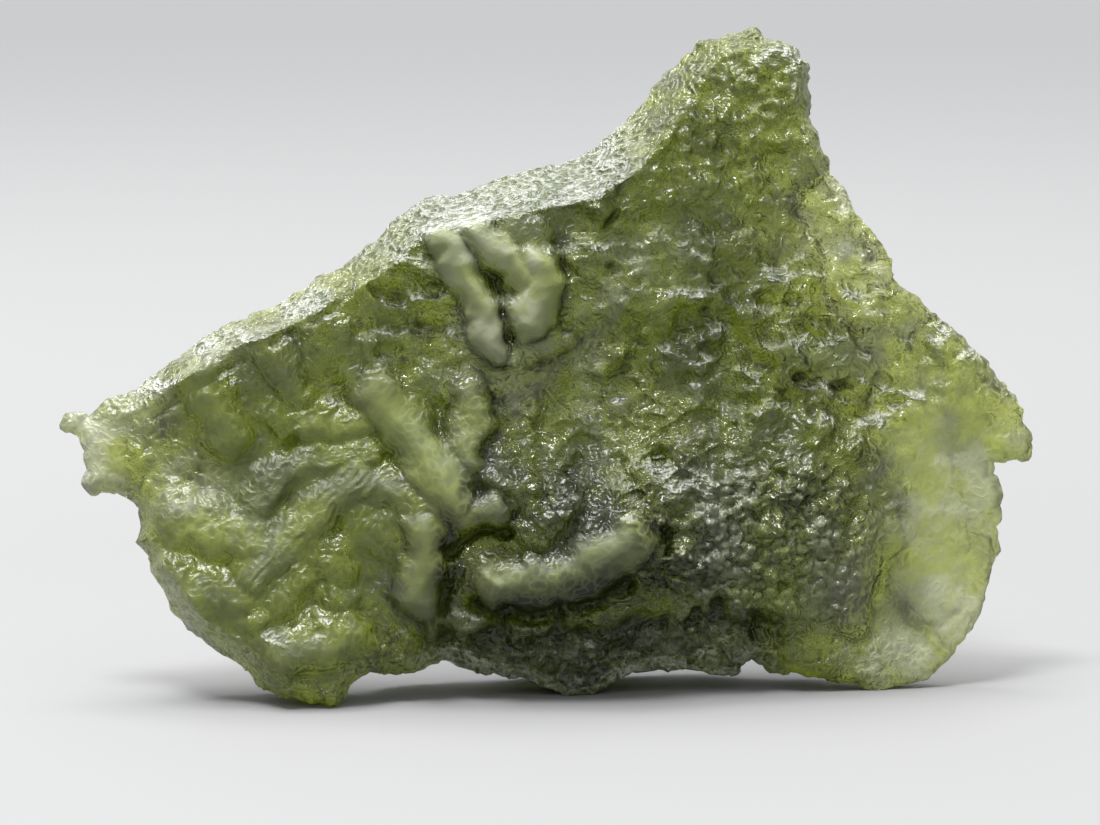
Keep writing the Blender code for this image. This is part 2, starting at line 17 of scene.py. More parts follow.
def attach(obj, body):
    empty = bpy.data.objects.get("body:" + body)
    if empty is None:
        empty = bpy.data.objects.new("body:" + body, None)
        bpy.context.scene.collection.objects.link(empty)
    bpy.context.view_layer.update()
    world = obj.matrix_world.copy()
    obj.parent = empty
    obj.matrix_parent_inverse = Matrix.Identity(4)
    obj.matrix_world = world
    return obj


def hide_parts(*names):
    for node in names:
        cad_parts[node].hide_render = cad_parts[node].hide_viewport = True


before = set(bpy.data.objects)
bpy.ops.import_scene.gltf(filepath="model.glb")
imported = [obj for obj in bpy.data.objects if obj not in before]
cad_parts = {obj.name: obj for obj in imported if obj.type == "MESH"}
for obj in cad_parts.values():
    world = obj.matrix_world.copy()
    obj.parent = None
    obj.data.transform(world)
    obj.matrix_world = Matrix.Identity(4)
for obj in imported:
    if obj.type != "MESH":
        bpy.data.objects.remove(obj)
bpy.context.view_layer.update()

MM = 0.001
LEAN = math.radians(8.0)
FLAT_SPOT = (1.37, 6.14)

# How finely the sheet is sampled, in millimetres.
CELL = 0.05
RIM_STEP = 0.85
FRONT_STEP = 0.56
BACK_STEP = 1.4
RIM_RINGS = (0.3, 0.75)
LOBE_LINES = (0.0, 0.72, 1.04)
LOBE_STEP = 0.58
LEAST_STEP = 0.34
ROUGH_RIM = 0.1
THINNEST = 0.5

# The outline, clockwise from the left tip, with the corners that the eye catches.
TOP_EDGE = [
    (-24.4, 14.0), (-24.1, 14.6), (-23.4, 14.6), (-22.9, 14.5), (-22.2, 15.2), (-21.1, 15.5), (-19.9, 16.4),
    (-18.5, 17.5), (-17.3, 18.4), (-16.0, 19.1), (-14.5, 19.8), (-13.4, 20.2), (-12.2, 21.0), (-10.4, 22.0),
    (-8.6, 23.3), (-7.7, 24.3), (-6.9, 25.0), (-5.8, 25.5), (-4.5, 25.7), (-2.5, 26.4), (-0.5, 27.0),
    (1.5, 27.5), (2.5, 28.2), (3.5, 29.0), (4.5, 30.0), (5.3, 31.0), (6.0, 31.9), (6.8, 32.6), (7.6, 33.3),
    (8.6, 33.6), (9.5, 33.8), (10.4, 33.9), (10.8, 33.5), (11.7, 33.3), (12.3, 32.9), (12.9, 32.2),
]
RIGHT_EDGE = [
    (13.0, 31.3), (13.0, 29.5), (13.4, 28.7), (14.1, 26.7), (15.0, 25.4), (15.9, 24.0), (16.7, 23.0),
    (17.1, 22.4), (17.3, 21.6), (17.7, 21.0), (18.4, 20.5), (19.7, 19.5), (20.4, 18.9), (21.1, 18.1),
    (21.9, 17.4), (22.5, 16.6), (23.5, 15.6), (23.9, 14.8), (24.0, 14.1), (24.3, 13.6), (24.4, 12.8),
    (24.1, 12.4), (23.2, 12.3), (22.5, 12.1), (22.4, 11.6), (22.8, 11.1), (23.0, 10.3), (22.9, 9.6),
    (22.6, 8.9), (22.8, 7.7), (22.4, 7.0), (22.2, 6.3), (22.0, 5.3), (21.6, 4.3), (21.0, 3.2), (20.3, 2.3),
    (19.5, 1.5), (18.7, 1.1),
]
BOTTOM_EDGE = [
    (17.5, 0.8), (16.3, 0.5), (15.6, 0.9), (14.6, 1.1), (12.7, 1.4), (11.2, 1.6), (10.4, 2.2), (9.8, 2.1),
    (9.5, 1.5), (8.7, 1.4), (7.5, 1.7), (5.0, 1.7), (3.8, 1.5), (3.1, 1.0), (2.5, 0.6), (1.7, 0.4),
    (0.9, 0.3), (0.2, 0.6), (-0.4, 1.0), (-1.3, 1.3), (-3.6, 1.6), (-4.6, 2.1), (-5.4, 2.3), (-6.4, 1.8),
    (-7.7, 1.6), (-8.9, 1.7), (-9.5, 1.6), (-10.0, 1.0), (-10.3, 0.2), (-10.9, -0.2),
]
LEFT_EDGE = [
    (-11.6, 0.2), (-13.7, 0.6), (-14.3, 0.9), (-14.8, 1.5), (-15.8, 2.3), (-16.7, 2.9), (-17.7, 3.5),
    (-18.4, 4.3), (-19.0, 5.1), (-19.3, 5.8), (-20.0, 6.7), (-20.0, 7.5), (-20.7, 8.1), (-20.4, 9.0),
    (-20.5, 9.8), (-20.9, 10.3), (-21.5, 10.7), (-22.9, 10.7), (-23.4, 11.1), (-23.1, 11.8), (-23.2, 12.8),
    (-23.5, 13.5),
]
OUTLINE = TOP_EDGE + RIGHT_EDGE + BOTTOM_EDGE + LEFT_EDGE

# The body under the relief: u, v, depth of the front face, and thickness.
BODY = [
    (-23.5, 13.0, -0.8, 0.8), (-20.5, 9.5, -0.5, 3.0), (-16.0, 5.0, 0.3, 4.4), (-11.0, 1.0, 0.8, 4.4),
    (-15.0, 12.0, -0.3, 5.0), (-9.0, 15.0, -0.5, 4.8), (-8.0, 8.0, 0.4, 5.0), (-15.0, 18.0, 0.9, 4.2),
    (-9.0, 21.8, 1.1, 4.0), (-4.0, 24.3, 1.3, 5.2), (-2.0, 20.0, 0.2, 4.2), (3.0, 25.8, 1.0, 6.6),
    (7.0, 29.0, 0.0, 5.0), (7.0, 32.0, -1.5, 3.2), (10.5, 32.5, -1.2, 3.2), (12.0, 28.0, -1.3, 3.0),
    (6.0, 22.0, -1.3, 5.5), (3.0, 15.0, -1.6, 6.0), (10.0, 20.0, -1.8, 4.6), (15.0, 22.6, -2.4, 0.9),
    (10.0, 14.0, -1.8, 6.2), (17.0, 17.0, -3.0, 2.6), (20.5, 16.5, -4.0, 2.0), (23.0, 13.5, -5.0, 1.1),
    (19.0, 10.0, -4.0, 1.5), (21.5, 8.0, -5.0, 1.0), (18.0, 4.0, -4.6, 1.1), (20.0, 3.0, -5.0, 0.9),
    (14.0, 3.0, -3.2, 3.4), (10.0, 8.0, -0.8, 7.6), (14.0, 9.0, -2.0, 6.0), (0.0, 9.0, 0.6, 8.0),
    (5.0, 8.0, 0.8, 8.6), (1.0, 6.0, 1.8, 9.6), (-3.0, 5.0, 1.0, 8.0), (-5.5, 6.0, 0.0, 6.0),
    (-5.0, 3.5, -0.8, 5.2), (0.0, 3.5, -1.5, 7.0), (5.0, 3.5, -1.5, 7.0), (1.0, 1.2, -4.2, 4.8),
    (5.0, 2.0, -3.6, 5.0), (9.0, 2.2, -3.6, 4.4), (-4.0, 2.2, -2.6, 4.4),
]
BODY_REACH = 2.6

# The edge: u, v, share of the thickness that lies behind the rim's line towards the front, the widths
# over which the front and the back face turn in to the rim, and how round the front's turn is. A turn
# that isn't round is a straight slope up to a crisp ridge.
EDGE = [
    (-24.0, 14.0, 0.5, 0.7, 0.7, 0.8), (-18.0, 17.5, 0.8, 1.2, 0.6, 0.3), (-11.0, 21.3, 0.85, 1.5, 0.6, 0.2),
    (-5.0, 25.5, 0.85, 1.8, 0.6, 0.1), (1.0, 27.3, 0.9, 2.4, 0.6, 0.0), (4.5, 30.0, 0.85, 2.3, 0.6, 0.1),
    (8.0, 33.5, 0.7, 1.3, 0.6, 0.6), (12.9, 32.0, 0.5, 0.6, 0.6, 0.6), (14.5, 26.0, 0.6, 0.7, 0.6, 0.5),
    (18.0, 20.8, 0.6, 0.9, 0.7, 0.7), (22.0, 17.4, 0.6, 1.0, 0.7, 0.8), (24.4, 12.8, 0.5, 0.8, 0.8, 1.0),
    (22.8, 8.0, 0.5, 0.9, 0.9, 1.0), (20.3, 2.3, 0.5, 0.9, 0.9, 1.0), (15.6, 0.9, 0.5, 0.8, 0.5, 1.0),
    (9.6, 1.6, 0.3, 0.8, 0.4, 0.6), (5.0, 1.7, 0.15, 0.6, 0.35, 0.4), (1.0, 0.3, 0.1, 0.5, 0.25, 0.4),
    (-4.6, 2.1, 0.3, 0.8, 0.4, 0.5), (-10.6, 0.0, 0.5, 0.7, 0.5, 0.6), (-16.0, 2.5, 0.6, 1.2, 0.6, 0.3),
    (-20.2, 7.5, 0.6, 0.9, 0.6, 0.5), (-23.2, 11.5, 0.5, 0.7, 0.7, 0.8),
]
EDGE_REACH = 3.0

# The broken band along the foot of the front stands back from this line, in millimetres.
LIP_LINE = [
    (-7.5, 3.4), (-5.5, 4.3), (-2.5, 4.2), (0.5, 4.1), (3.5, 4.5), (6.5, 5.0), (9.5, 5.2), (12.0, 4.6),
]
LIP_DROP = 1.9
LIP_RUN = 0.9
LIP_FADE = 1.8

# Raised lobes that can be told apart on the front: path, half width and height. A fullness of 1 makes
# their sections parabolas and 0.5 half ovals. The skirt is the share of its half width by which a lobe is
# drawn out on its upper left side, and the knobs are the share by which its width comes and goes. The back
# sinks behind each lobe by so many times its height, as far as the least wall allows.
LOBE_FULLNESS = 0.8
LOBE_SKIRT = 0.8
LOBE_KNOBS = 0.1
SKIRT_SIDE = (-0.64, 0.77)
BACK_FOLLOWS = 1.9
LEAST_WALL = 0.7
FINGERS = [
    ([(-5.1, 22.9), (-4.6, 22.1), (-3.9, 20.9), (-3.3, 19.5), (-2.8, 17.9)], 1.05, 1.5),
    ([(-3.4, 23.3), (-2.0, 22.2), (-1.3, 21.4)], 1.25, 1.2),
    ([(-0.3, 21.7), (-0.2, 20.2), (-0.9, 19.0)], 1.15, 1.4),
    ([(-1.6, 23.6), (-0.8, 23.2)], 1.0, 0.7),
    ([(2.9, 26.3), (2.8, 24.8)], 0.5, 0.6),
    ([(-7.4, 22.4), (-5.9, 21.9)], 0.85, 0.6),
    ([(-6.8, 20.4), (-5.2, 20.1)], 0.55, 0.45),
    ([(-1.6, 17.3), (0.6, 18.3)], 0.75, 0.6),
    ([(2.0, 19.7), (5.0, 20.0)], 1.5, 0.6),
    ([(2.7, 17.2), (3.7, 17.9)], 0.9, 0.65),
    ([(1.7, 21.9), (2.5, 21.3)], 0.7, 0.5),
]
PALM = [
    ([(-8.1, 15.0), (-6.6, 13.2), (-5.4, 11.6), (-4.7, 10.2)], 1.6, 1.25),
    ([(-3.6, 15.0), (-4.2, 12.5)], 1.1, 1.0),
    ([(-6.0, 8.7), (-6.1, 6.7), (-6.5, 5.2)], 1.05, 1.2),
    ([(-4.5, 9.5), (-2.5, 9.8)], 0.8, 1.0),
    ([(-3.1, 11.4), (-2.1, 11.1)], 0.6, 0.6),
    ([(-10.0, 11.5), (-8.0, 10.9), (-6.0, 9.8)], 1.15, 0.75),
    ([(-8.8, 8.9), (-8.2, 8.6)], 1.4, 0.5),
    ([(-7.5, 15.9), (-5.5, 15.9)], 0.8, 0.5),
]
LIP = [
    ([(-2.5, 5.9), (-0.5, 5.9), (1.5, 6.3), (3.2, 7.4), (4.4, 8.3)], 1.15, 1.4),
    ([(-4.0, 7.4), (-3.0, 5.9)], 1.2, 0.45),
    ([(-1.0, 8.4), (-0.8, 8.4)], 0.75, 0.5),
    ([(-0.2, 9.3), (1.3, 10.5)], 0.85, 0.6),
    ([(2.0, 8.5), (2.5, 9.4)], 0.6, 0.5),
    ([(-1.5, 10.6), (-0.8, 11.0)], 0.75, 0.5),
    ([(4.7, 11.9), (5.5, 9.4)], 0.9, 0.6),
]
LEFT_LOBES = [
    ([(-17.1, 16.0), (-16.0, 13.6)], 1.35, 0.74),
    ([(-12.0, 13.9), (-9.5, 13.9)], 0.95, 0.7),
    ([(-13.3, 14.3), (-13.2, 14.1)], 0.8, 0.41),
    ([(-14.5, 10.0), (-12.7, 11.6), (-10.2, 12.5), (-8.9, 12.6)], 0.85, 0.61),
    ([(-17.7, 8.9), (-14.7, 8.3)], 1.5, 0.7),
    ([(-17.7, 5.9), (-15.1, 5.4)], 1.3, 0.53),
    ([(-14.5, 6.4), (-12.0, 9.2), (-9.3, 11.6)], 1.05, 0.7),
    ([(-14.4, 4.2), (-12.3, 6.4)], 0.9, 0.49),
    ([(-13.1, 2.5), (-9.6, 3.5)], 1.15, 0.7),
    ([(-10.8, 7.0), (-10.4, 7.0)], 1.2, 0.49),
    ([(-10.4, 5.4), (-10.2, 5.3)], 0.9, 0.41),
    ([(-13.7, 17.8), (-12.5, 15.5)], 1.15, 0.57),
    ([(-10.2, 18.3), (-9.8, 16.5)], 0.85, 0.49),
    ([(-8.9, 17.8), (-8.8, 15.7)], 0.6, 0.41),
    ([(-11.6, 18.8), (-11.2, 17.4)], 0.9, 0.37),
    ([(-21.2, 12.5), (-20.6, 12.3)], 1.0, 0.25),
]
RIGHT_LOBES = [
    ([(12.0, 17.4), (14.7, 17.3)], 1.2, 0.5),
    ([(15.8, 19.4), (17.0, 19.0)], 0.9, 0.4),
    ([(20.5, 15.0), (17.5, 12.4)], 1.8, 0.6),
    ([(18.7, 12.0), (19.7, 8.0), (19.2, 5.4)], 1.6, 0.7),
    ([(16.3, 8.6), (15.3, 4.2)], 0.9, 0.6),
]
LOBES = FINGERS + PALM + LIP + LEFT_LOBES + RIGHT_LOBES
LEFT_STANDS_OUT = 1.2

# Fields of small relief: side, kind, centre, half extents, how many, half length, half width, depth,
# and the slope of their long side in degrees.
FIELDS = [
    ("front", "pit", (9.5, 29.0), (4.0, 5.0), 22, 1.3, 0.75, 0.4, -5),
    ("front", "pit", (7.0, 23.5), (8.0, 5.0), 45, 1.5, 0.85, 0.5, -8),
    ("front", "pit", (5.0, 15.5), (7.0, 4.0), 26, 1.7, 1.0, 0.5, -15),
    ("front", "pit", (14.0, 18.0), (6.0, 3.5), 26, 1.5, 0.85, 0.5, -12),
    ("front", "lump", (11.0, 9.5), (6.5, 5.0), 60, 1.1, 0.9, 0.6, 20),
    ("front", "lump", (2.0, 2.8), (9.0, 1.6), 34, 1.0, 0.8, 0.55, 10),
    ("back", "pit", (-8.0, 11.0), (16.0, 12.0), 60, 2.0, 1.15, 0.8, 35),
    ("back", "pit", (9.0, 20.0), (14.0, 14.0), 60, 1.8, 1.1, 0.7, -30),
    ("back", "lump", (8.0, 9.0), (16.0, 9.0), 50, 1.6, 1.2, 0.7, 10),
]
SEED = 41

# Smaller relief that only the looks have, in the same form.
FINE_FIELDS = [
    ("front", "lump", (6.5, 20.3), (6.5, 3.4), 26, 1.0, 0.9, 0.5, 60),
    ("front", "ledge", (6.5, 20.3), (6.5, 2.8), 20, 0.85, 0.65, 0.8, -8),
    ("front", "step", (6.5, 20.3), (6.5, 2.8), 26, 0.7, 0.65, 0.6, -8),
    ("front", "lump", (15.5, 17.4), (4.8, 2.8), 16, 1.1, 0.9, 0.6, 60),
    ("front", "ledge", (15.5, 17.4), (4.8, 2.8), 14, 0.9, 0.6, 0.85, -12),
    ("front", "step", (15.8, 17.2), (4.4, 2.4), 30, 0.75, 0.65, 0.75, -14),
    ("front", "ledge", (-7.2, 22.6), (1.4, 0.2), 5, 0.9, 0.5, 0.8, -10),
    ("front", "ledge", (-6.9, 20.8), (1.8, 0.2), 6, 0.9, 0.5, 0.8, -10),
    ("front", "ledge", (-7.1, 19.2), (1.9, 0.2), 6, 0.9, 0.5, 0.8, -15),
    ("front", "ledge", (-11.8, 20.0), (1.2, 0.3), 5, 0.5, 0.35, 0.6, 25),
    ("front", "ledge", (14.5, 19.0), (1.8, 0.4), 7, 0.9, 0.55, 1.1, -20),
    ("front", "ledge", (17.6, 16.0), (2.0, 0.5), 8, 0.9, 0.6, 1.1, -25),
    ("front", "ledge", (13.4, 16.2), (1.8, 0.4), 7, 0.9, 0.55, 1.0, -15),
    ("front", "step", (6.8, 11.4), (2.4, 0.9), 14, 0.55, 0.4, 0.65, -5),
    ("front", "lump", (9.5, 28.0), (3.2, 4.2), 40, 0.42, 0.38, 0.3, 20),
    ("front", "ledge", (11.6, 31.0), (1.2, 1.4), 8, 0.5, 0.4, 0.5, -10),
    ("front", "ledge", (-14.5, 15.5), (5.0, 2.5), 14, 0.6, 0.28, 0.35, 30),
    ("front", "step", (-15.6, 2.1), (2.8, 1.5), 26, 0.45, 0.3, 0.35, -30),
    ("front", "step", (1.0, 2.7), (7.5, 1.5), 44, 0.5, 0.36, 0.6, 10),
    ("front", "step", (5.0, 6.2), (3.5, 0.8), 10, 0.5, 0.35, 0.5, 10),
    ("front", "pit", (9.5, 28.5), (4.5, 5.5), 200, 0.6, 0.4, 0.22, 40),
    ("front", "pit", (6.5, 22.0), (9.5, 5.5), 420, 0.65, 0.38, 0.24, 10),
    ("front", "pit", (14.5, 19.0), (6.5, 4.5), 260, 0.6, 0.36, 0.24, -12),
    ("front", "pit", (4.0, 14.5), (7.0, 4.0), 220, 0.6, 0.35, 0.2, -15),
    ("front", "lump", (11.0, 9.0), (7.0, 5.5), 700, 0.4, 0.33, 0.28, 20),
    ("front", "lump", (1.5, 3.0), (10.0, 2.2), 300, 0.4, 0.3, 0.25, 10),
    ("front", "pit", (-10.0, 12.0), (12.0, 10.0), 300, 0.5, 0.3, 0.1, 40),
    ("back", "pit", (0.0, 14.0), (24.0, 18.0), 900, 0.6, 0.35, 0.2, 10),
]

# Narrow grooves on the front: path, half width and depth.
GROOVES = [
    ([(-19.6, 14.6), (-17.5, 15.9), (-15.2, 17.2)], 0.3, 0.3),
    ([(-13.6, 18.1), (-11.4, 19.4), (-9.6, 20.8)], 0.25, 0.3),
    ([(-3.6, 5.1), (-2.2, 4.6), (0.2, 4.6)], 0.55, 1.0),
    ([(1.2, 4.9), (2.9, 5.3), (3.8, 6.1)], 0.45, 0.9),
    ([(2.9, 25.2), (3.1, 24.3), (2.8, 23.8)], 0.4, 0.7),
    ([(7.6, 24.1), (8.0, 23.7)], 0.45, 0.6),
    ([(-0.5, 15.8), (-0.2, 15.0), (-0.6, 14.2)], 0.3, 0.5),
    ([(1.4, 12.5), (1.0, 11.9)], 0.4, 0.6),
    ([(9.9, 17.6), (10.3, 16.9)], 0.5, 0.7),
    ([(4.2, 18.0), (3.9, 17.3)], 0.3, 0.6),
    ([(-5.0, 7.7), (-3.8, 8.7), (-2.1, 8.8)], 0.3, 0.9),
    ([(-5.2, 6.2), (-5.3, 4.9)], 0.35, 0.8),
    ([(5.8, 8.9), (5.8, 7.6)], 0.25, 0.8),
]

# Bundles of flow lines on the front: path, how many side by side, the gap between them, half width
# and height.
FLOWS = [
    ([(3.0, 11.5), (5.5, 12.6), (8.1, 14.2)], 6, 0.42, 0.2, 0.14),
    ([(4.0, 11.0), (4.3, 9.2)], 6, 0.34, 0.15, 0.12),
    ([(-14.8, 5.8), (-12.0, 9.0), (-9.3, 11.6)], 5, 0.36, 0.17, 0.12),
    ([(8.0, 5.8), (9.3, 4.4), (9.0, 2.4)], 5, 0.4, 0.18, 0.14),
    ([(-14.0, 10.6), (-12.7, 12.2), (-9.5, 12.8)], 3, 0.36, 0.16, 0.1),
    ([(-21.8, 14.6), (-17.8, 17.0), (-13.2, 19.5), (-8.6, 22.6)], 4, 0.32, 0.15, 0.13),
    ([(-3.2, 6.6), (-3.8, 5.0)], 6, 0.36, 0.16, 0.16),
    ([(4.4, 7.2), (7.6, 6.4)], 5, 0.4, 0.17, 0.2),
]

# Fine roughness of the surface: etched bowls with sharp crests between them, and beads.
# Each zone is a face, the middle and the half extents on the sheet, the size of one bowl or bead in X, Y and
# Z, and its depth or height, all in millimetres. None stands for the whole of that face. The gap is the
# width of the crease between two beads, as a share of their size.
BOWLS = [
    ("front", None, None, (1.5, 1.2, 1.0), 0.12),
    ("front", (8.5, 24.0), (9.0, 9.0), (1.2, 1.0, 0.95), 0.3),
    ("front", (15.5, 18.5), (7.5, 5.5), (1.2, 1.0, 0.95), 0.4),
    ("front", (4.0, 14.5), (8.5, 4.5), (1.6, 1.2, 0.75), 0.45),
    ("front", (-6.0, 19.0), (4.0, 3.5), (1.5, 1.2, 0.7), 0.4),
    ("back", None, None, (2.2, 1.6, 1.5), 0.5),
    ("back", (4.0, 16.0), (16.0, 12.0), (4.2, 3.0, 3.4), 1.3),
]
BEADS = [
    ("front", (10.8, 8.5), (5.5, 4.6), (0.8, 0.75, 0.65), 0.5),
    ("front", (0.6, 10.2), (3.0, 1.9), (0.95, 0.85, 0.7), 0.3),
]
BEAD_GAP = 0.22
ROUGHNESS_AT_RIM = 0.3

# Zones of the front that are frosted and painted paler as a glow, painted dark as shade, painted with white
# glints where they face up, or smooth: middle, half extents and share. A zone's weight is a bell as high as
# the peak, less the cut, held between 0 and 1. The back has one share of each trait all over.
ZONE_PEAK = 1.6
ZONE_CUT = 0.15
FROST_AND_GLOW = [
    ((-2.8, 20.8), (3.0, 3.2), 0.8),
    ((-1.0, 16.5), (4.5, 3.0), 0.6),
    ((4.5, 14.5), (4.0, 2.0), 0.35),
    ((-23.0, 12.6), (1.7, 2.2), 1.0),
    ((-18.6, 4.6), (1.0, 1.8), 0.7),
    ((10.8, 8.0), (5.0, 4.0), 0.75),
    ((4.0, 21.8), (4.0, 1.9), 0.6),
    ((-18.0, 11.2), (2.4, 1.6), 0.6),
    ((20.6, 5.0), (2.0, 3.4), 0.95),
    ((17.6, 2.4), (2.8, 1.6), 0.95),
    ((20.4, 9.6), (3.2, 4.6), 0.7),
    ((16.4, 21.2), (2.4, 1.8), 0.5),
    ((22.3, 13.5), (2.2, 2.2), 0.6),
    ((14.6, 24.0), (1.6, 3.2), 0.8),
    ((-20.2, 15.5), (1.8, 1.1), 0.7),
    ((-16.6, 18.0), (2.0, 1.2), 0.6),
    ((-12.6, 20.3), (2.0, 1.2), 0.6),
]
SHADE_ZONES = [
    ((-14.0, 9.5), (8.0, 7.0), 0.25),
    ((9.8, 29.5), (3.2, 4.5), 0.4),
    ((-6.6, 12.4), (2.4, 3.0), 0.2),
    ((-0.5, 5.0), (2.6, 0.8), 0.9),
    ((2.6, 5.8), (2.0, 0.9), 0.8),
    ((6.2, 6.6), (2.4, 1.1), 0.75),
    ((-5.0, 7.4), (0.7, 2.4), 0.9),
    ((-4.0, 10.7), (0.6, 1.0), 0.8),
    ((4.8, 9.8), (1.3, 1.8), 0.8),
    ((2.5, 2.4), (9.5, 2.0), 0.75),
    ((10.6, 3.4), (2.0, 1.8), 0.6),
    ((12.6, 10.6), (2.6, 1.8), 0.6),
    ((9.6, 9.0), (4.8, 3.8), 0.25),
    ((1.2, 6.3), (3.8, 1.4), 0.45),
    ((-9.0, 3.0), (1.6, 1.6), 0.4),
]
GLINTS = [
    ((-7.0, 22.3), (1.1, 0.4), 1.0),
    ((-6.2, 20.7), (1.2, 0.35), 1.0),
    ((-7.6, 19.9), (0.8, 0.35), 1.0),
    ((-6.3, 18.9), (1.1, 0.35), 1.0),
    ((-4.8, 18.4), (0.5, 0.6), 0.8),
    ((-11.4, 20.1), (1.1, 0.35), 1.0),
    ((-13.9, 17.3), (0.7, 0.4), 0.9),
]
CALM = [
    ((20.6, 8.0), (4.0, 9.0), 1.0),
    ((-22.6, 12.4), (2.2, 2.6), 0.8),
    ((-13.5, 8.8), (8.5, 7.5), 0.6),
]
TRAITS = ("sugar_and_glints", "broken", "crease_shade", "lobe", "frost_and_glow", "zone_shade", "calm", "up", "patches")
BACK_TRAITS = {"sugar_and_glints": 0.0, "frost_and_glow": 0.15, "zone_shade": 0.0, "calm": 0.0, "broken": 0.1}

# The sugary broken edge, frosted and painted white partly as light: its share at places along the top, from
# left to right, and along the foot. The band covers the slope in from the rim and fades out over a share of
# its width. BY_TURN is its strength where that slope is straight, and how much of it is lost where it is
# fully round.
SUGAR_ALONG_TOP = [
    (-24, 0.3), (-9, 0.35), (-6, 1.0), (3, 1.0), (5, 0.25), (8, 0.3), (9, 0.9), (12, 0.9), (13, 0.2),
]
SUGAR_AT_FOOT = 0.8
SUGAR_BAND = (1.1, 0.16)
SUGAR_BY_TURN = (1.2, 1.5)
SUGAR_ABOVE = 13

# Creases are painted dark as shade, falling below and right of each rise as from a light up and to the left.
# A crease lies below what is round it: the reach over which that is taken, how far up and left of it, and the
# depth of a full crease. Creases fade out towards the rim.
CREASES = [(0.22, 0.12, 0.28), (0.7, 0.35, 0.75)]
CREASE_FADE = 0.6

# Flat chips of the broken band, grain all over, and the ragged rim: sizes, then slopes or heights.
CHIP_SIZES = (1.5, 0.6, 0.33)
CHIP_TILTS = (0.5, 0.75, 0.6)
GRAIN_SIZES = (1.1, 0.4)
GRAIN_HEIGHTS = (0.08, 0.05)
RAGGED_SIZES = (0.75, 0.28)
RAGGED_HEIGHTS = (0.2, 0.12)
RAGGED_SEEDS = (20, 30)
RAGGED_REACH = 0.6

# Ledges, and the broken band, get painted white glints where the surface faces up; ledges do so in clusters
# of this size within their fields and a margin round them. FACES_UP is how steeply up the painted glints
# start and how steeply they are full.
LEDGE_MARGIN = 0.5
LEDGE_CLUSTER = 1.5
CLUSTER_SEED = 50
CLUSTER_SHARE = (-0.12, 0.08)
BROKEN_GLINTS = 0.85
FACES_UP = (0.36, 0.48)
GLINTS_FACE_UP = (-0.05, 0.15)

# How high the relief is where it starts to look like a lobe and where it does so fully, and how far the small
# relief is smoothed there and in calm zones.
LOBE_SHOWS = 0.5
LOBE_FULL = 1.2
SMOOTH_ON_LOBES = 0.8
SMOOTH_WHERE_CALM = 0.6

# Cloudy patches of paler and duller glass, in three sizes laid on each other.
PATCH_SIZES = (3.2, 1.3, 0.5)
PATCH_HEIGHTS = (0.5, 0.35, 0.25)
PATCH_SEEDS = {"front": 5, "back": 9}

SPLITS = 2
RIM_BULGE = 0.06

# Glass: what is taken off over a metre is the density times one minus the tint.
GLASS_TINT = (0.6, 0.66, 0.08, 1.0)
GLASS_DENSITY = 760.0
GLASS_IOR = 1.49
# Colours. The lobe colour is milkier glass with a painted glow, the frosted colour is frost with a painted
# glow, the sugary colour also paints white glints, and the shade zone and crease colours are painted shade.
PLAIN_COLOUR = (0.86, 0.93, 0.28, 1.0)
BLOTCH_COLOUR = (0.54, 0.57, 0.42, 1.0)
LOBE_MILK_AND_GLOW_COLOUR = (0.6, 0.7, 0.25, 1.0)
FROST_AND_GLOW_COLOUR = (0.88, 0.9, 0.7, 1.0)
BROKEN_COLOUR = (0.4, 0.42, 0.38, 1.0)
ZONE_SHADE_COLOUR = (0.03, 0.034, 0.028, 1.0)
CREASE_SHADE_COLOUR = (0.016, 0.02, 0.009, 1.0)
SUGAR_AND_GLINT_COLOUR = (0.9, 0.92, 0.84, 1.0)
SPECK_COLOUR = (0.24, 0.28, 0.16, 1.0)

# How clear the glass is, and by how much more or less each trait makes it so.
CLEARNESS = 0.93
LOBE_CLEARNESS = -0.14
FROST_AND_GLOW_CLEARNESS = -0.24
BROKEN_CLEARNESS = -0.25
SUGAR_AND_GLINT_CLEARNESS = -0.35

# Ranges are low and high, then what these turn into: roughness over the cloudy patches, where frost with its
# painted glow and blotches lie in them, the wrinkles as dark lines of painted shade in their hollows, as
# unevenness of the painted shade zones and as specks of the sugary edge, and how far a place faces down, for
# the painted shade on undersides.
SATIN = (0.3, 0.7, 0.13, 0.3)
FROST_AND_GLOW_IN_PATCHES = (0.3, 0.6, 0.35, 1.0)
BLOTCHES = (0.35, 0.75, 0.0, 1.0)
DARK_WRINKLES = (0.4, 0.85, 0.55, 0.0)
ZONE_SHADE_IN_WRINKLES = (0.6, 1.3, 0.85, 0.05)
SPECKS = (0.62, 0.95, 0.0, 1.0)
FACES_DOWN = (-0.25, 0.3, 1.0, 0.0)
# How far lobes take their glow colour, how dark the shade zones are painted where they face down, how dark
# any underside is painted as shade, how much of the painted shade along the wrinkles stays on lobes and in
# calm zones, and how much rougher lobes and calm zones are.
LOBE_TINTED = 0.65
ZONE_SHADE_UNDERNEATH = 0.75
UNDERSIDES = 0.35
DARK_KEPT_ON_LOBES = 0.3
DARK_KEPT_WHERE_CALM = 0.4
SATIN_ON_LOBES = 0.36
SATIN_WHERE_CALM = 0.22

# Relief that is too fine for the mesh: how many to a metre, and height in metres. There is less of it on
# lobes and in calm zones.
SCALES = ((900.0, 900.0, 1000.0), 0.0002)
WRINKLES = (2300.0, 0.00006)
SUGAR_HEIGHT = 0.0002
LOBE_SMOOTH_FROM = 0.8
WRINKLES_ON_LOBES = 0.15
RELIEF_WHERE_CALM = 0.4

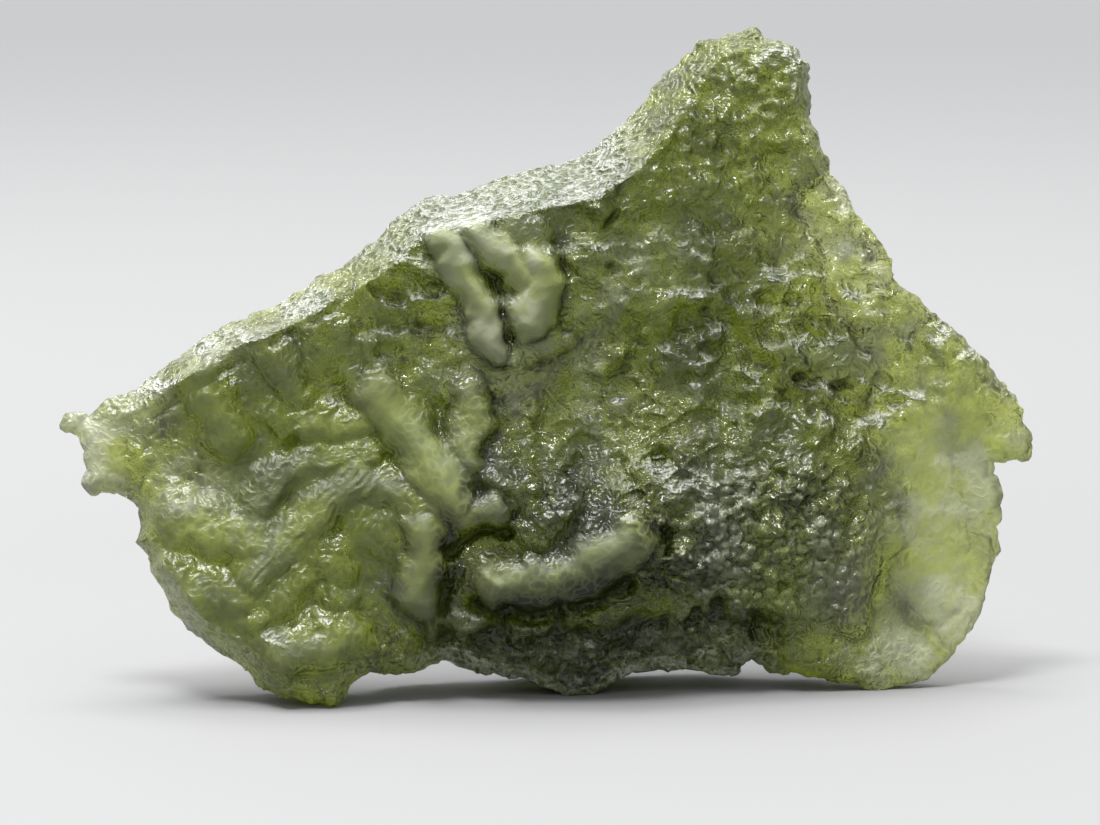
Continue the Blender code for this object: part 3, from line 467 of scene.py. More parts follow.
# Stage, light and camera.
FLOOR_RADIUS = 2.5
FLOOR_SIDES = 96
FLOOR_FADE = (0.05, 0.8)
FLOOR_NEAR = (0.25, 0.25, 0.25)
FLOOR_FAR = (0.56, 0.56, 0.56)
SKY_COLOUR = (0.97, 0.98, 1.0, 1.0)
SKY_OVERHEAD = (0.3, 0.85, 0.14, 1.4)
SKY_BEHIND = (0.45, 0.85, 0.0, 0.9)
VIEW_ELEVATION = LEAN
VIEW_CENTRE = (0.0, 14.675, -2.0)
LENS_MM = 150.0
FRAME_WIDTH = 0.055


def blend_table(table, reach, u, v):
    """Values of a table of points (u, v, values...), blended smoothly between the points."""
    points = np.array(table)
    d2 = (u[..., None] - points[:, 0]) ** 2 + (v[..., None] - points[:, 1]) ** 2
    weight = np.exp(-d2 / (2 * reach**2)) + 1e-3 / (d2 + 1.0)
    weight /= weight.sum(axis=-1, keepdims=True)
    return np.moveaxis(weight @ points[:, 2:], -1, 0)


class Canvas:
    """A grid over the sheet on which relief is painted, read back anywhere between its cells."""

    LOW = (-26.0, -1.5)
    HIGH = (26.0, 35.5)

    def __init__(self, cell):
        self.cell = cell
        self.us = np.arange(self.LOW[0], self.HIGH[0], cell)
        self.vs = np.arange(self.LOW[1], self.HIGH[1], cell)
        self.u, self.v = np.meshgrid(self.us, self.vs)
        u, v = self.u, self.v
        self.bent_u = u + 0.1 * np.sin(2.3 * v + 0.9 * u) + 0.05 * np.sin(4.1 * v - 3.3 * u + 1.7)
        self.bent_v = v + 0.1 * np.sin(2.6 * u - 0.7 * v + 0.5) + 0.05 * np.sin(4.6 * u + 2.9 * v)
        self.base = np.zeros_like(self.u)
        self.raised = np.zeros_like(self.u)
        self.sunk = np.zeros_like(self.u)
        self.lobes = np.zeros_like(self.u)

    def window(self, low_u, high_u, low_v, high_v):
        columns = slice(*np.searchsorted(self.us, [low_u, high_u]))
        rows = slice(*np.searchsorted(self.vs, [low_v, high_v]))
        return rows, columns

    def lobe(self, path, radius, height, skirt=LOBE_SKIRT):
        """A round-topped ridge along a path of straight runs, drawn out into a skirt on one side."""
        points = np.array(path)
        reach = radius * (1 + skirt) + 0.4
        low, high = points.min(axis=0) - reach, points.max(axis=0) + reach
        at = self.window(low[0], high[0], low[1], high[1])
        u, v = self.bent_u[at], self.bent_v[at]
        girth = radius * (1 + LOBE_KNOBS * np.sin(1.9 * u + 1.3 * v) * np.sin(1.7 * v - 0.8 * u + 2.0))
        nearest = np.full_like(u, 1e9)
        for (u0, v0), (u1, v1) in zip(path, path[1:]):
            run = np.array([u1 - u0, v1 - v0])
            along = ((u - u0) * run[0] + (v - v0) * run[1]) / (run @ run)
            along = np.clip(along, 0.0, 1.0)
            du, dv = u - u0 - along * run[0], v - v0 - along * run[1]
            away = np.hypot(du, dv) + 1e-9
            facing = np.clip((du * SKIRT_SIDE[0] + dv * SKIRT_SIDE[1]) / away, 0, 1)
            nearest = np.minimum(nearest, away / (girth * (1 + skirt * facing**2)))
        dome = height * np.clip(1 - nearest**2, 0, 1) ** LOBE_FULLNESS
        self.raised[at] = np.maximum(self.raised[at], dome)

    def groove(self, path, radius, depth, skirt=0.0):
        """A round-bottomed groove along a path."""
        raised = self.raised
        self.raised = np.zeros_like(raised)
        self.lobe(path, radius, depth, skirt)
        self.sunk = np.maximum(self.sunk, self.raised)
        self.raised = raised

    def flow(self, path, count, gap, radius, height):
        """Thin ridges side by side along a path, laid on what is there."""
        (u0, v0), (u1, v1) = path[0], path[-1]
        length = math.hypot(u1 - u0, v1 - v0)
        raised = self.raised
        self.raised = np.zeros_like(raised)
        for k in range(count):
            shift = (k - (count - 1) / 2) * gap
            du, dv = (v0 - v1) / length * shift, (u1 - u0) / length * shift
            self.lobe([(u + du, v + dv) for u, v in path], radius, height, 0.0)
        self.base += self.raised
        self.raised = raised

    def shelf(self, line, drop, run, fade):
        """Sinks what lies under a line from left to right, out to the fade beyond its ends."""
        line_u, line_v = np.array(line).T
        wander = 0.35 * np.sin(1.7 * self.u) + 0.25 * np.sin(3.7 * self.u + 1.6 * np.sin(0.9 * self.u))
        below = np.clip((np.interp(self.u, line_u, line_v) + wander - self.bent_v) / run, 0, 1)
        ends = np.clip(np.minimum(self.u - line_u[0], line_u[-1] - self.u) / fade, 0, 1)
        self.base -= drop * below * ends * ends * (3 - 2 * ends)

    def dab(self, kind, centre, length, width, depth, angle):
        """One small oval pit or lump with its own slope. A ledge is a pit with a steep lower
        wall, and a step a lump with a steep upper one."""
        reach = max(length, width)
        at = self.window(centre[0] - reach, centre[0] + reach, centre[1] - reach, centre[1] + reach)
        du, dv = self.u[at] - centre[0], self.v[at] - centre[1]
        along = (du * math.cos(angle) + dv * math.sin(angle)) / length
        across = (dv * math.cos(angle) - du * math.sin(angle)) / width
        dome = depth * np.clip(1 - along**2 - across**2, 0, 1)
        if kind in ("ledge", "step"):
            dome *= np.clip(0.5 - across if kind == "ledge" else 0.5 + across, 0.15, 1.5)
        if kind in ("pit", "ledge"):
            self.sunk[at] = np.maximum(self.sunk[at], dome)
        else:
            self.raised[at] = np.maximum(self.raised[at], dome)

    def field(self, draw, kind, centre, extents, count, length, width, depth, slope):
        """Many dabs of one kind scattered in an oval."""
        for _ in range(count):
            turn, out = draw.uniform(0, 2 * math.pi), math.sqrt(draw.random())
            place = (
                centre[0] + extents[0] * out * math.cos(turn),
                centre[1] + extents[1] * out * math.sin(turn),
            )
            size = draw.uniform(0.7, 1.35)
            angle = math.radians(slope + draw.uniform(-35, 35))
            self.dab(kind, place, length * size, width * size, depth * size * draw.uniform(0.6, 1.2), angle)

    def height(self):
        return self.base + self.raised - self.sunk

    def read(self, grid, u, v):
        """A grid's values at points, blended between the four nearest cells."""
        x = np.clip((u - self.us[0]) / self.cell, 0, len(self.us) - 1.001)
        y = np.clip((v - self.vs[0]) / self.cell, 0, len(self.vs) - 1.001)
        i, j = x.astype(int), y.astype(int)
        fx, fy = x - i, y - j
        low = grid[j, i] * (1 - fx) + grid[j, i + 1] * fx
        high = grid[j + 1, i] * (1 - fx) + grid[j + 1, i + 1] * fx
        return low * (1 - fy) + high * fy

    def blurred(self, grid, reach):
        """A grid smoothed over a reach in millimetres."""
        rows, columns = np.fft.fftfreq(grid.shape[0]), np.fft.fftfreq(grid.shape[1])
        pitch = 2 * (math.pi * reach / self.cell) ** 2
        keep = np.exp(-pitch * (rows[:, None] ** 2 + columns[None, :] ** 2))
        return np.real(np.fft.ifft2(np.fft.fft2(grid) * keep))

    def creases(self):
        """Painted shade, by how far each place lies below what is up and left of it:
        0 on the open, 1 in sharp creases.
        """
        height = self.height()
        found = np.zeros_like(height)
        for reach, aside, full in CREASES:
            cells = round(aside / self.cell)
            around = np.roll(self.blurred(height, reach), (-cells, cells), axis=(0, 1))
            found = np.maximum(found, (around - height) / full)
        return np.clip(found, 0, 1)


def paint_relief(cell):
    """The front's and the back's relief."""
    sides = {"front": Canvas(cell), "back": Canvas(cell)}
    front = sides["front"]
    front.shelf(LIP_LINE, LIP_DROP, LIP_RUN, LIP_FADE)
    for lobe in LOBES:
        path, radius, height = lobe
        front.lobe(path, radius, height * (LEFT_STANDS_OUT if lobe in LEFT_LOBES else 1))
        sides["back"].groove(path, radius, height * BACK_FOLLOWS, LOBE_SKIRT)
    front.lobes = front.raised.copy()
    draw = random.Random(SEED)
    for side, *field in FIELDS + FINE_FIELDS:
        sides[side].field(draw, *field)
    front.sunk *= 1 - SMOOTH_ON_LOBES * np.clip(front.lobes / LOBE_FULL, 0, 1)
    for path, radius, depth in GROOVES:
        front.groove(path, radius, depth)
    for path, count, gap, radius, height in FLOWS:
        front.flow(path, count, gap, radius, height)
    return sides


def rim_line(step):
    """The outline as points about a step apart, with a slightly ragged edge between its corners."""
    points = []
    for (u0, v0), (u1, v1) in zip(OUTLINE, OUTLINE[1:] + OUTLINE[:1]):
        length = math.hypot(u1 - u0, v1 - v0)
        parts = max(1, round(length / step))
        across = Vector((v1 - v0, u0 - u1)) / length
        for k in range(parts):
            share = k / parts
            at = Vector((u0 + (u1 - u0) * share, v0 + (v1 - v0) * share))
            if k:
                at += across * ROUGH_RIM * noise.noise(Vector((at.x * 2, at.y * 2, 0)))
            points.append((at.x, at.y))
    return np.array(points)


def is_inside(points, rim):
    """Which points lie inside the rim, by counting the rim's crossings to the right of each."""
    inside = np.zeros(len(points), bool)
    for (u0, v0), (u1, v1) in zip(rim, np.roll(rim, -1, axis=0)):
        if v0 == v1:
            continue
        crosses = (points[:, 1] < v0) != (points[:, 1] < v1)
        at = u0 + (points[:, 1] - v0) / (v1 - v0) * (u1 - u0)
        inside ^= crosses & (points[:, 0] < at)
    return inside


class Rim:
    """The rim's points in a tree, to find how far in from the rim a point lies."""

    SPACING = 0.08

    def __init__(self, rim):
        dense = []
        for a, b in zip(rim, np.roll(rim, -1, axis=0)):
            parts = max(1, math.ceil(np.hypot(*(b - a)) / self.SPACING))
            dense += [a + (b - a) * k / parts for k in range(parts)]
        self.tree = kdtree.KDTree(len(dense))
        for k, (u, v) in enumerate(dense):
            self.tree.insert((u, v, 0), k)
        self.tree.balance()

    def distance(self, points):
        return np.array([self.tree.find((u, v, 0))[2] for u, v in points])


def beside_path(path, offset, step):
    """Points that run round a path at an offset from it."""
    if offset == 0:
        found = []
        for (u0, v0), (u1, v1) in zip(path, path[1:]):
            parts = max(1, round(math.hypot(u1 - u0, v1 - v0) / step))
            found += [(u0 + (u1 - u0) * k / parts, v0 + (v1 - v0) * k / parts) for k in range(parts)]
        return found + [path[-1]]
    found = []
    for (u0, v0), (u1, v1) in zip(path, path[1:]):
        length = math.hypot(u1 - u0, v1 - v0)
        nu, nv = (v0 - v1) / length * offset, (u1 - u0) / length * offset
        parts = max(1, round(length / step))
        for k in range(parts + 1):
            u, v = u0 + (u1 - u0) * k / parts, v0 + (v1 - v0) * k / parts
            found += [(u + nu, v + nv), (u - nu, v - nv)]
    turns = max(6, round(2 * math.pi * offset / step))
    for u, v in (path[0], path[-1]):
        found += [
            (u + offset * math.cos(2 * math.pi * k / turns), v + offset * math.sin(2 * math.pi * k / turns))
            for k in range(turns)
        ]
    runs = list(zip(path, path[1:]))
    return [p for p in found if min(run_distance(p, run) for run in runs) > offset * 0.97]


def run_distance(point, run):
    (u0, v0), (u1, v1) = run
    du, dv = u1 - u0, v1 - v0
    along = ((point[0] - u0) * du + (point[1] - v0) * dv) / (du * du + dv * dv)
    along = min(max(along, 0), 1)
    return math.hypot(point[0] - u0 - along * du, point[1] - v0 - along * dv)


def thin_out(points, least):
    """Drops each point that is closer than the least distance to one before it."""
    kept, cells = [], {}
    for u, v in points:
        i, j = math.floor(u / least), math.floor(v / least)
        near = [p for di in (-1, 0, 1) for dj in (-1, 0, 1) for p in cells.get((i + di, j + dj), ())]
        if all(math.hypot(u - p[0], v - p[1]) >= least for p in near):
            cells.setdefault((i, j), []).append((u, v))
            kept.append((u, v))
    return np.array(kept)


def sheet_points(rim, tree, step, lobes):
    """Points that fill the sheet: rings beside the rim, lines along the lobes, then a grid between them."""
    inward = np.roll(rim, -1, axis=0) - np.roll(rim, 1, axis=0)
    inward = np.stack([inward[:, 1], -inward[:, 0]], axis=1)
    inward /= np.linalg.norm(inward, axis=1, keepdims=True)
    found = []
    for offset in RIM_RINGS:
        ring = rim + inward * offset
        ring = ring[is_inside(ring, rim)]
        found += ring[tree.distance(ring) > offset * 0.85].tolist()
    for share in LOBE_LINES:
        for path, radius, _ in lobes:
            found += beside_path(path, radius * share, LOBE_STEP)
    found = np.array(found)
    found = found[is_inside(found, rim)]
    found = thin_out(found[tree.distance(found) > RIM_RINGS[0] * 0.8], LEAST_STEP)
    low, high = rim.min(axis=0), rim.max(axis=0)
    grid = []
    for k, v in enumerate(np.arange(low[1], high[1], step * math.sqrt(3) / 2)):
        grid += [(u, v) for u in np.arange(low[0] + (k % 2) * step / 2, high[0], step)]
    grid = np.array(grid)
    grid = grid[is_inside(grid, rim)]
    grid = grid[tree.distance(grid) > RIM_RINGS[-1] + step * 0.45]
    lines = kdtree.KDTree(len(found))
    for k, (u, v) in enumerate(found):
        lines.insert((u, v, 0), k)
    lines.balance()
    clear = np.array([lines.find((u, v, 0))[2] for u, v in grid]) > step * 0.62
    return np.concatenate([found, grid[clear]])


def triangulate(rim, inner):
    """Triangles over the sheet. The rim's points come first."""
    points = [Vector(p) for p in np.concatenate([rim, inner])]
    rim_edges = [(k, (k + 1) % len(rim)) for k in range(len(rim))]
    made = delaunay_2d_cdt(points, rim_edges, [], 0, 1e-6, False)
    points, triangles = np.array([tuple(p) for p in made[0]]), np.array(made[2])
    return points, triangles[is_inside(points[triangles].mean(axis=1), rim)].tolist()


def turn_in(share, roundness):
    """How far the face has risen at a share of the way in from the rim."""
    share = np.clip(share, 0, 1)
    return roundness * np.sqrt(1 - (1 - share) ** 2) + (1 - roundness) * share


def depths(points, inset, relief, side):
    """The depth w of one face at points that lie inset from the rim."""
    u, v = points[:, 0], points[:, 1]
    front, thick = blend_table(BODY, BODY_REACH, u, v)
    behind, front_width, back_width, roundness = blend_table(EDGE, EDGE_REACH, u, v)
    rim_depth = front - thick * behind
    swell = np.clip(thick / 2.5, 0.35, 1)
    on_face = roundness + (1 - roundness) * np.clip((inset / front_width - 0.75) / 0.35, 0, 1)
    front_face = front + relief["front"].read(relief["front"].height(), u, v) * swell * on_face
    if side == "front":
        edge = rim_depth + THINNEST / 2
        face = np.maximum(front_face, edge + THINNEST / 4)
        return edge + (face - edge) * turn_in(inset / front_width, roundness)
    edge = rim_depth - THINNEST / 2
    back_face = front - thick - relief["back"].read(relief["back"].height(), u, v) * swell
    face = np.minimum(np.minimum(back_face, front_face - LEAST_WALL), edge - THINNEST / 4)
    return edge + (face - edge) * turn_in(inset / back_width, 0.8)


def place(u, v, w):
    """A point of the sheet in the stone's frame, in metres: leant back, the flat spot's middle at 0."""
    y = v * math.sin(LEAN) - w * math.cos(LEAN)
    z = v * math.cos(LEAN) + w * math.sin(LEAN)
    return Vector(((u - FLAT_SPOT[0]) * MM, (y - FLAT_SPOT[1]) * MM, z * MM))


def split(points, triangles, loop):
    """Splits each triangle in four, and puts the new points of the rim into its loop."""
    ends = np.concatenate([triangles[:, [0, 1]], triangles[:, [1, 2]], triangles[:, [2, 0]]])
    edges, index = np.unique(np.sort(ends, axis=1), axis=0, return_inverse=True)
    middles = points[edges].mean(axis=1)
    ab, bc, ca = (index.reshape(-1) + len(points)).reshape(3, -1)
    a, b, c = triangles.T
    parts = [(a, ab, ca), (ab, b, bc), (ca, bc, c), (ab, bc, ca)]
    triangles = np.concatenate([np.stack(part, axis=1) for part in parts])
    number = {tuple(edge): k + len(points) for k, edge in enumerate(edges.tolist())}
    longer = []
    for k, after in zip(loop, loop[1:] + loop[:1]):
        longer += [k, number[min(k, after), max(k, after)]]
    return np.concatenate([points, middles]), triangles, longer


def risen(values, low, high):
    """How far values have risen from a low to a high one, from 0 to 1."""
    return np.clip((values - low) / (high - low), 0, 1)


def noise_at(points, size, seed):
    """Smooth noise between -1 and 1 at points of the sheet."""
    return np.array([noise.noise(Vector((u / size, v / size, seed))) for u, v in points])


def patches_at(points, seed):
    """Cloudy patches, from 0 to 1."""
    clouds = sum(height * noise_at(points, size, seed) for size, height in zip(PATCH_SIZES, PATCH_HEIGHTS))
    return np.clip(0.5 + clouds, 0, 1)


def cells_at(points, sizes):
    """Distance to the nearest and the next middle of a scatter of cells, at points in space."""
    found = [noise.voronoi(Vector(p))[0][:2] for p in points / np.array(sizes)]
    return np.array(found).reshape(-1, 2).T


def chips_at(points, size, tilt):
    """Flat chips, each with its own slope, as on a broken surface."""
    heights = []
    for p in points / size:
        middle = noise.voronoi(Vector(p))[1][0]
        slope = noise.cell_vector(middle * 17.3) - Vector((0.5, 0.5, 0.5))
        heights.append(slope.dot(Vector(p) - middle))
    return np.array(heights) * size * tilt


def zone_weight(sheet, middle, extents):
    if middle is None:
        return np.ones(len(sheet))
    off = (sheet - np.array(middle)) / np.array(extents)
    return np.clip(ZONE_PEAK * np.exp(-((off**2).sum(axis=1))) - ZONE_CUT, 0, 1)


def roughness_at(points, sheet, side, broken):
    """How far the fine roughness lifts the surface, in millimetres, and the depth of its own creases,
    for painted shade.
    """
    lift, crease_shade = np.zeros(len(points)), np.zeros(len(points))
    for zones, is_bowl in ((BOWLS, True), (BEADS, False)):
        for zone_side, middle, extents, sizes, height in zones:
            weight = zone_weight(sheet, middle, extents) * (side == zone_side)
            inside = weight > 0.01
            nearest, following = cells_at(points[inside], sizes)
            gap = np.clip(following - nearest, 0, 1)
            shape = nearest**2 - 0.5 if is_bowl else np.sqrt(gap) - 0.5
            lift[inside] += weight[inside] * height * shape
            if not is_bowl:
                between = weight[inside] * np.clip(1 - gap / BEAD_GAP, 0, 1)
                crease_shade[inside] = np.maximum(crease_shade[inside], between)
    for size, height in zip(GRAIN_SIZES, GRAIN_HEIGHTS):
        lift += height * np.array([noise.noise(Vector(p)) for p in points / size])
    chipped = broken > 0.05
    for size, tilt in zip(CHIP_SIZES, CHIP_TILTS):
        lift[chipped] += broken[chipped] * chips_at(points[chipped], size, tilt)
    return lift, crease_shade


def corner_normals(verts, triangles):
    """The surface's direction at each vertex of a mesh of triangles."""
    a, b, c = (verts[triangles[:, k]] for k in range(3))
    flat = np.cross(b - a, c - a)
    normals = np.zeros_like(verts)
    for k in range(3):
        np.add.at(normals, triangles[:, k], flat)
    return normals / (np.linalg.norm(normals, axis=1, keepdims=True) + 1e-18)


def sugar_at(points, inset):
    """How sugary the front is, frosted and painted white partly as light: the band along the top edge, the
    chipped peak and the foot.
    """
    u, v = points[:, 0], points[:, 1]
    _, width, _, roundness = blend_table(EDGE, EDGE_REACH, u, v)
    reach, fade = SUGAR_BAND
    most, loss = SUGAR_BY_TURN
    band = np.clip((reach - inset / width) / fade, 0, 1) * np.clip(most - roundness * loss, 0, 1)
    along = np.interp(u, *np.array(SUGAR_ALONG_TOP).T)
    return np.clip(band * np.where(v > SUGAR_ABOVE, along, SUGAR_AT_FOOT), 0, 1)


def share_at(points, zones):
    """The largest share that a table of zones gives each point of the front."""
    found = np.zeros(len(points))
    for middle, extents, share in zones:
        found = np.maximum(found, share * zone_weight(points, middle, extents))
    return found


def broken_at(points):
    """How broken the front is: the band under the lip."""
    u, v = points[:, 0], points[:, 1]
    line_u, line_v = np.array(LIP_LINE).T
    below = np.clip((np.interp(u, line_u, line_v) - v) / LIP_RUN, 0, 1)
    return below * np.clip(np.minimum(u - line_u[0], line_u[-1] - u) / LIP_FADE, 0, 1)


def make_sheet(side, rim, tree, step, lobes, relief):
    """One face of the stone: points in millimetres, triangles, the rim's loop, and each point's traits."""
    points, triangles = triangulate(rim, sheet_points(rim, tree, step, lobes))
    triangles, loop = np.array(triangles), list(range(len(rim)))
    for _ in range(SPLITS):
        points, triangles, loop = split(points, triangles, loop)
    inset = tree.distance(points)
    w = depths(points, inset, relief, side)
    canvas, u, v = relief[side], points[:, 0], points[:, 1]
    if side == "front":
        traits = {"sugar_and_glints": sugar_at(points, inset), "broken": broken_at(points)}
        for name, zones in (("frost_and_glow", FROST_AND_GLOW), ("zone_shade", SHADE_ZONES), ("calm", CALM)):
            traits[name] = share_at(points, zones)
    else:
        traits = {name: np.full(len(points), share) for name, share in BACK_TRAITS.items()}
    traits["sheet"] = points
    # Painted shade in the creases, fading out towards the rim.
    traits["crease_shade"] = canvas.read(canvas.creases(), u, v) * np.clip(inset / CREASE_FADE, 0, 1)
    traits["patches"] = patches_at(points, PATCH_SEEDS[side])
    traits["lobe"] = risen(canvas.read(canvas.lobes, u, v), LOBE_SHOWS, LOBE_FULL)
    near_rim = np.exp(-inset / RAGGED_REACH)[:, None]
    ragged = sum(
        height * np.stack([noise_at(points, size, seed) for seed in RAGGED_SEEDS], axis=1)
        for size, height in zip(RAGGED_SIZES, RAGGED_HEIGHTS)
    )
    shown = points + ragged * near_rim
    placed = np.array([place(u, v, d) for (u, v), d in zip(shown, w)]) / MM
    return placed, triangles, loop, traits


def make_stone():
    """The stone as one closed mesh: the front, the back, and a slightly bulged rim between them."""
    relief = paint_relief(CELL)
    rim = rim_line(RIM_STEP)
    tree = Rim(rim)
    front, front_faces, front_loop, traits = make_sheet("front", rim, tree, FRONT_STEP, LOBES, relief)
    back, back_faces, back_loop, back_traits = make_sheet("back", rim, tree, BACK_STEP, [], relief)
    back_loop = [k + len(front) for k in back_loop]
    verts = np.concatenate([front, back])
    outward = np.roll(verts[front_loop], 1, axis=0) - np.roll(verts[front_loop], -1, axis=0)
    outward = np.stack([outward[:, 2], outward[:, 1] * 0, -outward[:, 0]], axis=1)
    outward /= np.linalg.norm(outward, axis=1, keepdims=True) + 1e-12
    rows = [front_loop]
    for share in (1 / 3, 2 / 3):
        row = verts[front_loop] * (1 - share) + verts[back_loop] * share + outward * RIM_BULGE
        rows.append(list(range(len(verts), len(verts) + len(row))))
        verts = np.concatenate([verts, row])
    rows.append(back_loop)
    for name, values in traits.items():
        edge = values[front_loop]
        traits[name] = np.concatenate([values, back_traits[name], edge, edge])
    faces = [front_faces, back_faces[:, ::-1] + len(front)]
    for upper, lower in zip(rows, rows[1:]):
        for k in range(len(upper)):
            after = (k + 1) % len(upper)
            faces.append([[upper[k], upper[after], lower[after]], [upper[k], lower[after], lower[k]]])
    faces = np.concatenate(faces)
    lift = np.zeros(len(verts))
    on_back = np.zeros(len(verts), bool)
    on_back[len(front) : len(front) + len(back)] = True
    for side, which in (("front", ~on_back), ("back", on_back)):
        sheet, broken = traits["sheet"][which], traits["broken"][which]
        lift[which], crease_shade = roughness_at(verts[which], sheet, side, broken)
        traits["crease_shade"][which] = np.maximum(traits["crease_shade"][which], crease_shade)
    lift *= (1 - SMOOTH_ON_LOBES * traits["lobe"]) * (1 - SMOOTH_WHERE_CALM * traits["calm"])
    lift[np.concatenate(rows)] *= ROUGHNESS_AT_RIM
    verts = verts + corner_normals(verts, faces) * lift[:, None]
    verts[:, 2] = np.maximum(verts[:, 2], 0)
    traits["up"] = corner_normals(verts, faces)[:, 2]
    # Painted glints: white where the glint zones face up, off the lobes and only on the front.
    on_glints = share_at(traits["sheet"], GLINTS) * risen(traits["up"], *GLINTS_FACE_UP)
    traits["sugar_and_glints"] = np.maximum(traits["sugar_and_glints"], on_glints * ~on_back * (1 - traits["lobe"]))
    # More painted glints: white where ledges and steps face up, in clusters and off the lobes, and on the
    # broken band.
    ledge_glints = np.zeros(len(verts))
    for _, kind, middle, extents, *_ in FINE_FIELDS:
        if kind in ("ledge", "step"):
            reach = np.array(extents) + LEDGE_MARGIN
            ledge_glints = np.maximum(ledge_glints, np.clip(2 * zone_weight(traits["sheet"], middle, reach), 0, 1))
    ledge_glints *= risen(noise_at(traits["sheet"], LEDGE_CLUSTER, CLUSTER_SEED), *CLUSTER_SHARE)
    ledge_glints = np.maximum(ledge_glints * (1 - traits["lobe"]), BROKEN_GLINTS * traits["broken"])
    ledge_glints *= risen(traits["up"], *FACES_UP) * ~on_back
    traits["sugar_and_glints"] = np.maximum(traits["sugar_and_glints"], ledge_glints)
    # Less painted shade on the glints and in calm zones.
    traits["crease_shade"] *= (1 - ledge_glints) * (1 - SMOOTH_WHERE_CALM * traits["calm"])
    mesh = bpy.data.meshes.new("moldavite_look")
    mesh.from_pydata((verts * MM).tolist(), [], faces.tolist())
    for name in TRAITS:
        attribute = mesh.attributes.new(name, "FLOAT", "POINT")
        attribute.data.foreach_set("value", traits[name].astype(np.float32))
    mesh.shade_smooth()
    stone = bpy.data.objects.new("moldavite_look", mesh)
    bpy.context.collection.objects.link(stone)
    return stone


def link(tree, source, target):
    tree.links.new(source, target)


def wrinkles_node(tree, where, per_metre):
    """Branching wrinkles, so many to a metre: low in the hollows and high on the crests."""
    node = tree.nodes.new("ShaderNodeTexNoise")
    node.noise_type = "RIDGED_MULTIFRACTAL"
    node.inputs["Offset"].default_value = 1.0
    node.inputs["Scale"].default_value = per_metre
    node.inputs["Detail"].default_value = 2.0
    node.inputs["Roughness"].default_value = 0.6
    link(tree, where, node.inputs["Vector"])
    return node.outputs["Fac"]


def scales_node(tree, where, per_metre):
    """Small shallow bowls with sharp crests between them, at so many a metre along X, Y and Z."""
    stretch = tree.nodes.new("ShaderNodeVectorMath")
    stretch.operation = "MULTIPLY"
    stretch.inputs[1].default_value = per_metre
    link(tree, where, stretch.inputs[0])
    node = tree.nodes.new("ShaderNodeTexVoronoi")
    node.inputs["Scale"].default_value = 1.0
    link(tree, stretch.outputs["Vector"], node.inputs["Vector"])
    return node.outputs["Distance"]


def ranged(tree, value, low, high, to_low, to_high):
    """A value's run from low to high, turned into a run from to_low to to_high and held at its ends."""
    node = tree.nodes.new("ShaderNodeMapRange")
    node.inputs["From Min"].default_value = low
    node.inputs["From Max"].default_value = high
    node.inputs["To Min"].default_value = to_low
    node.inputs["To Max"].default_value = to_high
    link(tree, value, node.inputs["Value"])
    return node.outputs["Result"]


def maths(tree, operation, a, b):
    node = tree.nodes.new("ShaderNodeMath")
    node.operation = operation
    for socket, value in zip(node.inputs, (a, b)):
        if isinstance(value, (int, float)):
            socket.default_value = value
        else:
            link(tree, value, socket)
    return node.outputs["Value"]


def bump(tree, height):
    """The surface's direction with a relief on it, whose height is in metres."""
    node = tree.nodes.new("ShaderNodeBump")
    node.inputs["Strength"].default_value = 1.0
    node.inputs["Distance"].default_value = 1.0
    link(tree, height, node.inputs["Height"])
    return node.outputs["Normal"]


def trait(tree, name):
    node = tree.nodes.new("ShaderNodeAttribute")
    node.attribute_name = name
    return node.outputs["Fac"]


def mixed(tree, share, first, second):
    """A colour between two, each a socket or a plain colour."""
    node = tree.nodes.new("ShaderNodeMix")
    node.data_type = "RGBA"
    link(tree, share, node.inputs["Factor"])
    for socket, value in ((node.inputs[6], first), (node.inputs[7], second)):
        if isinstance(value, tuple):
            socket.default_value = value
        else:
            link(tree, value, socket)
    return node.outputs[2]


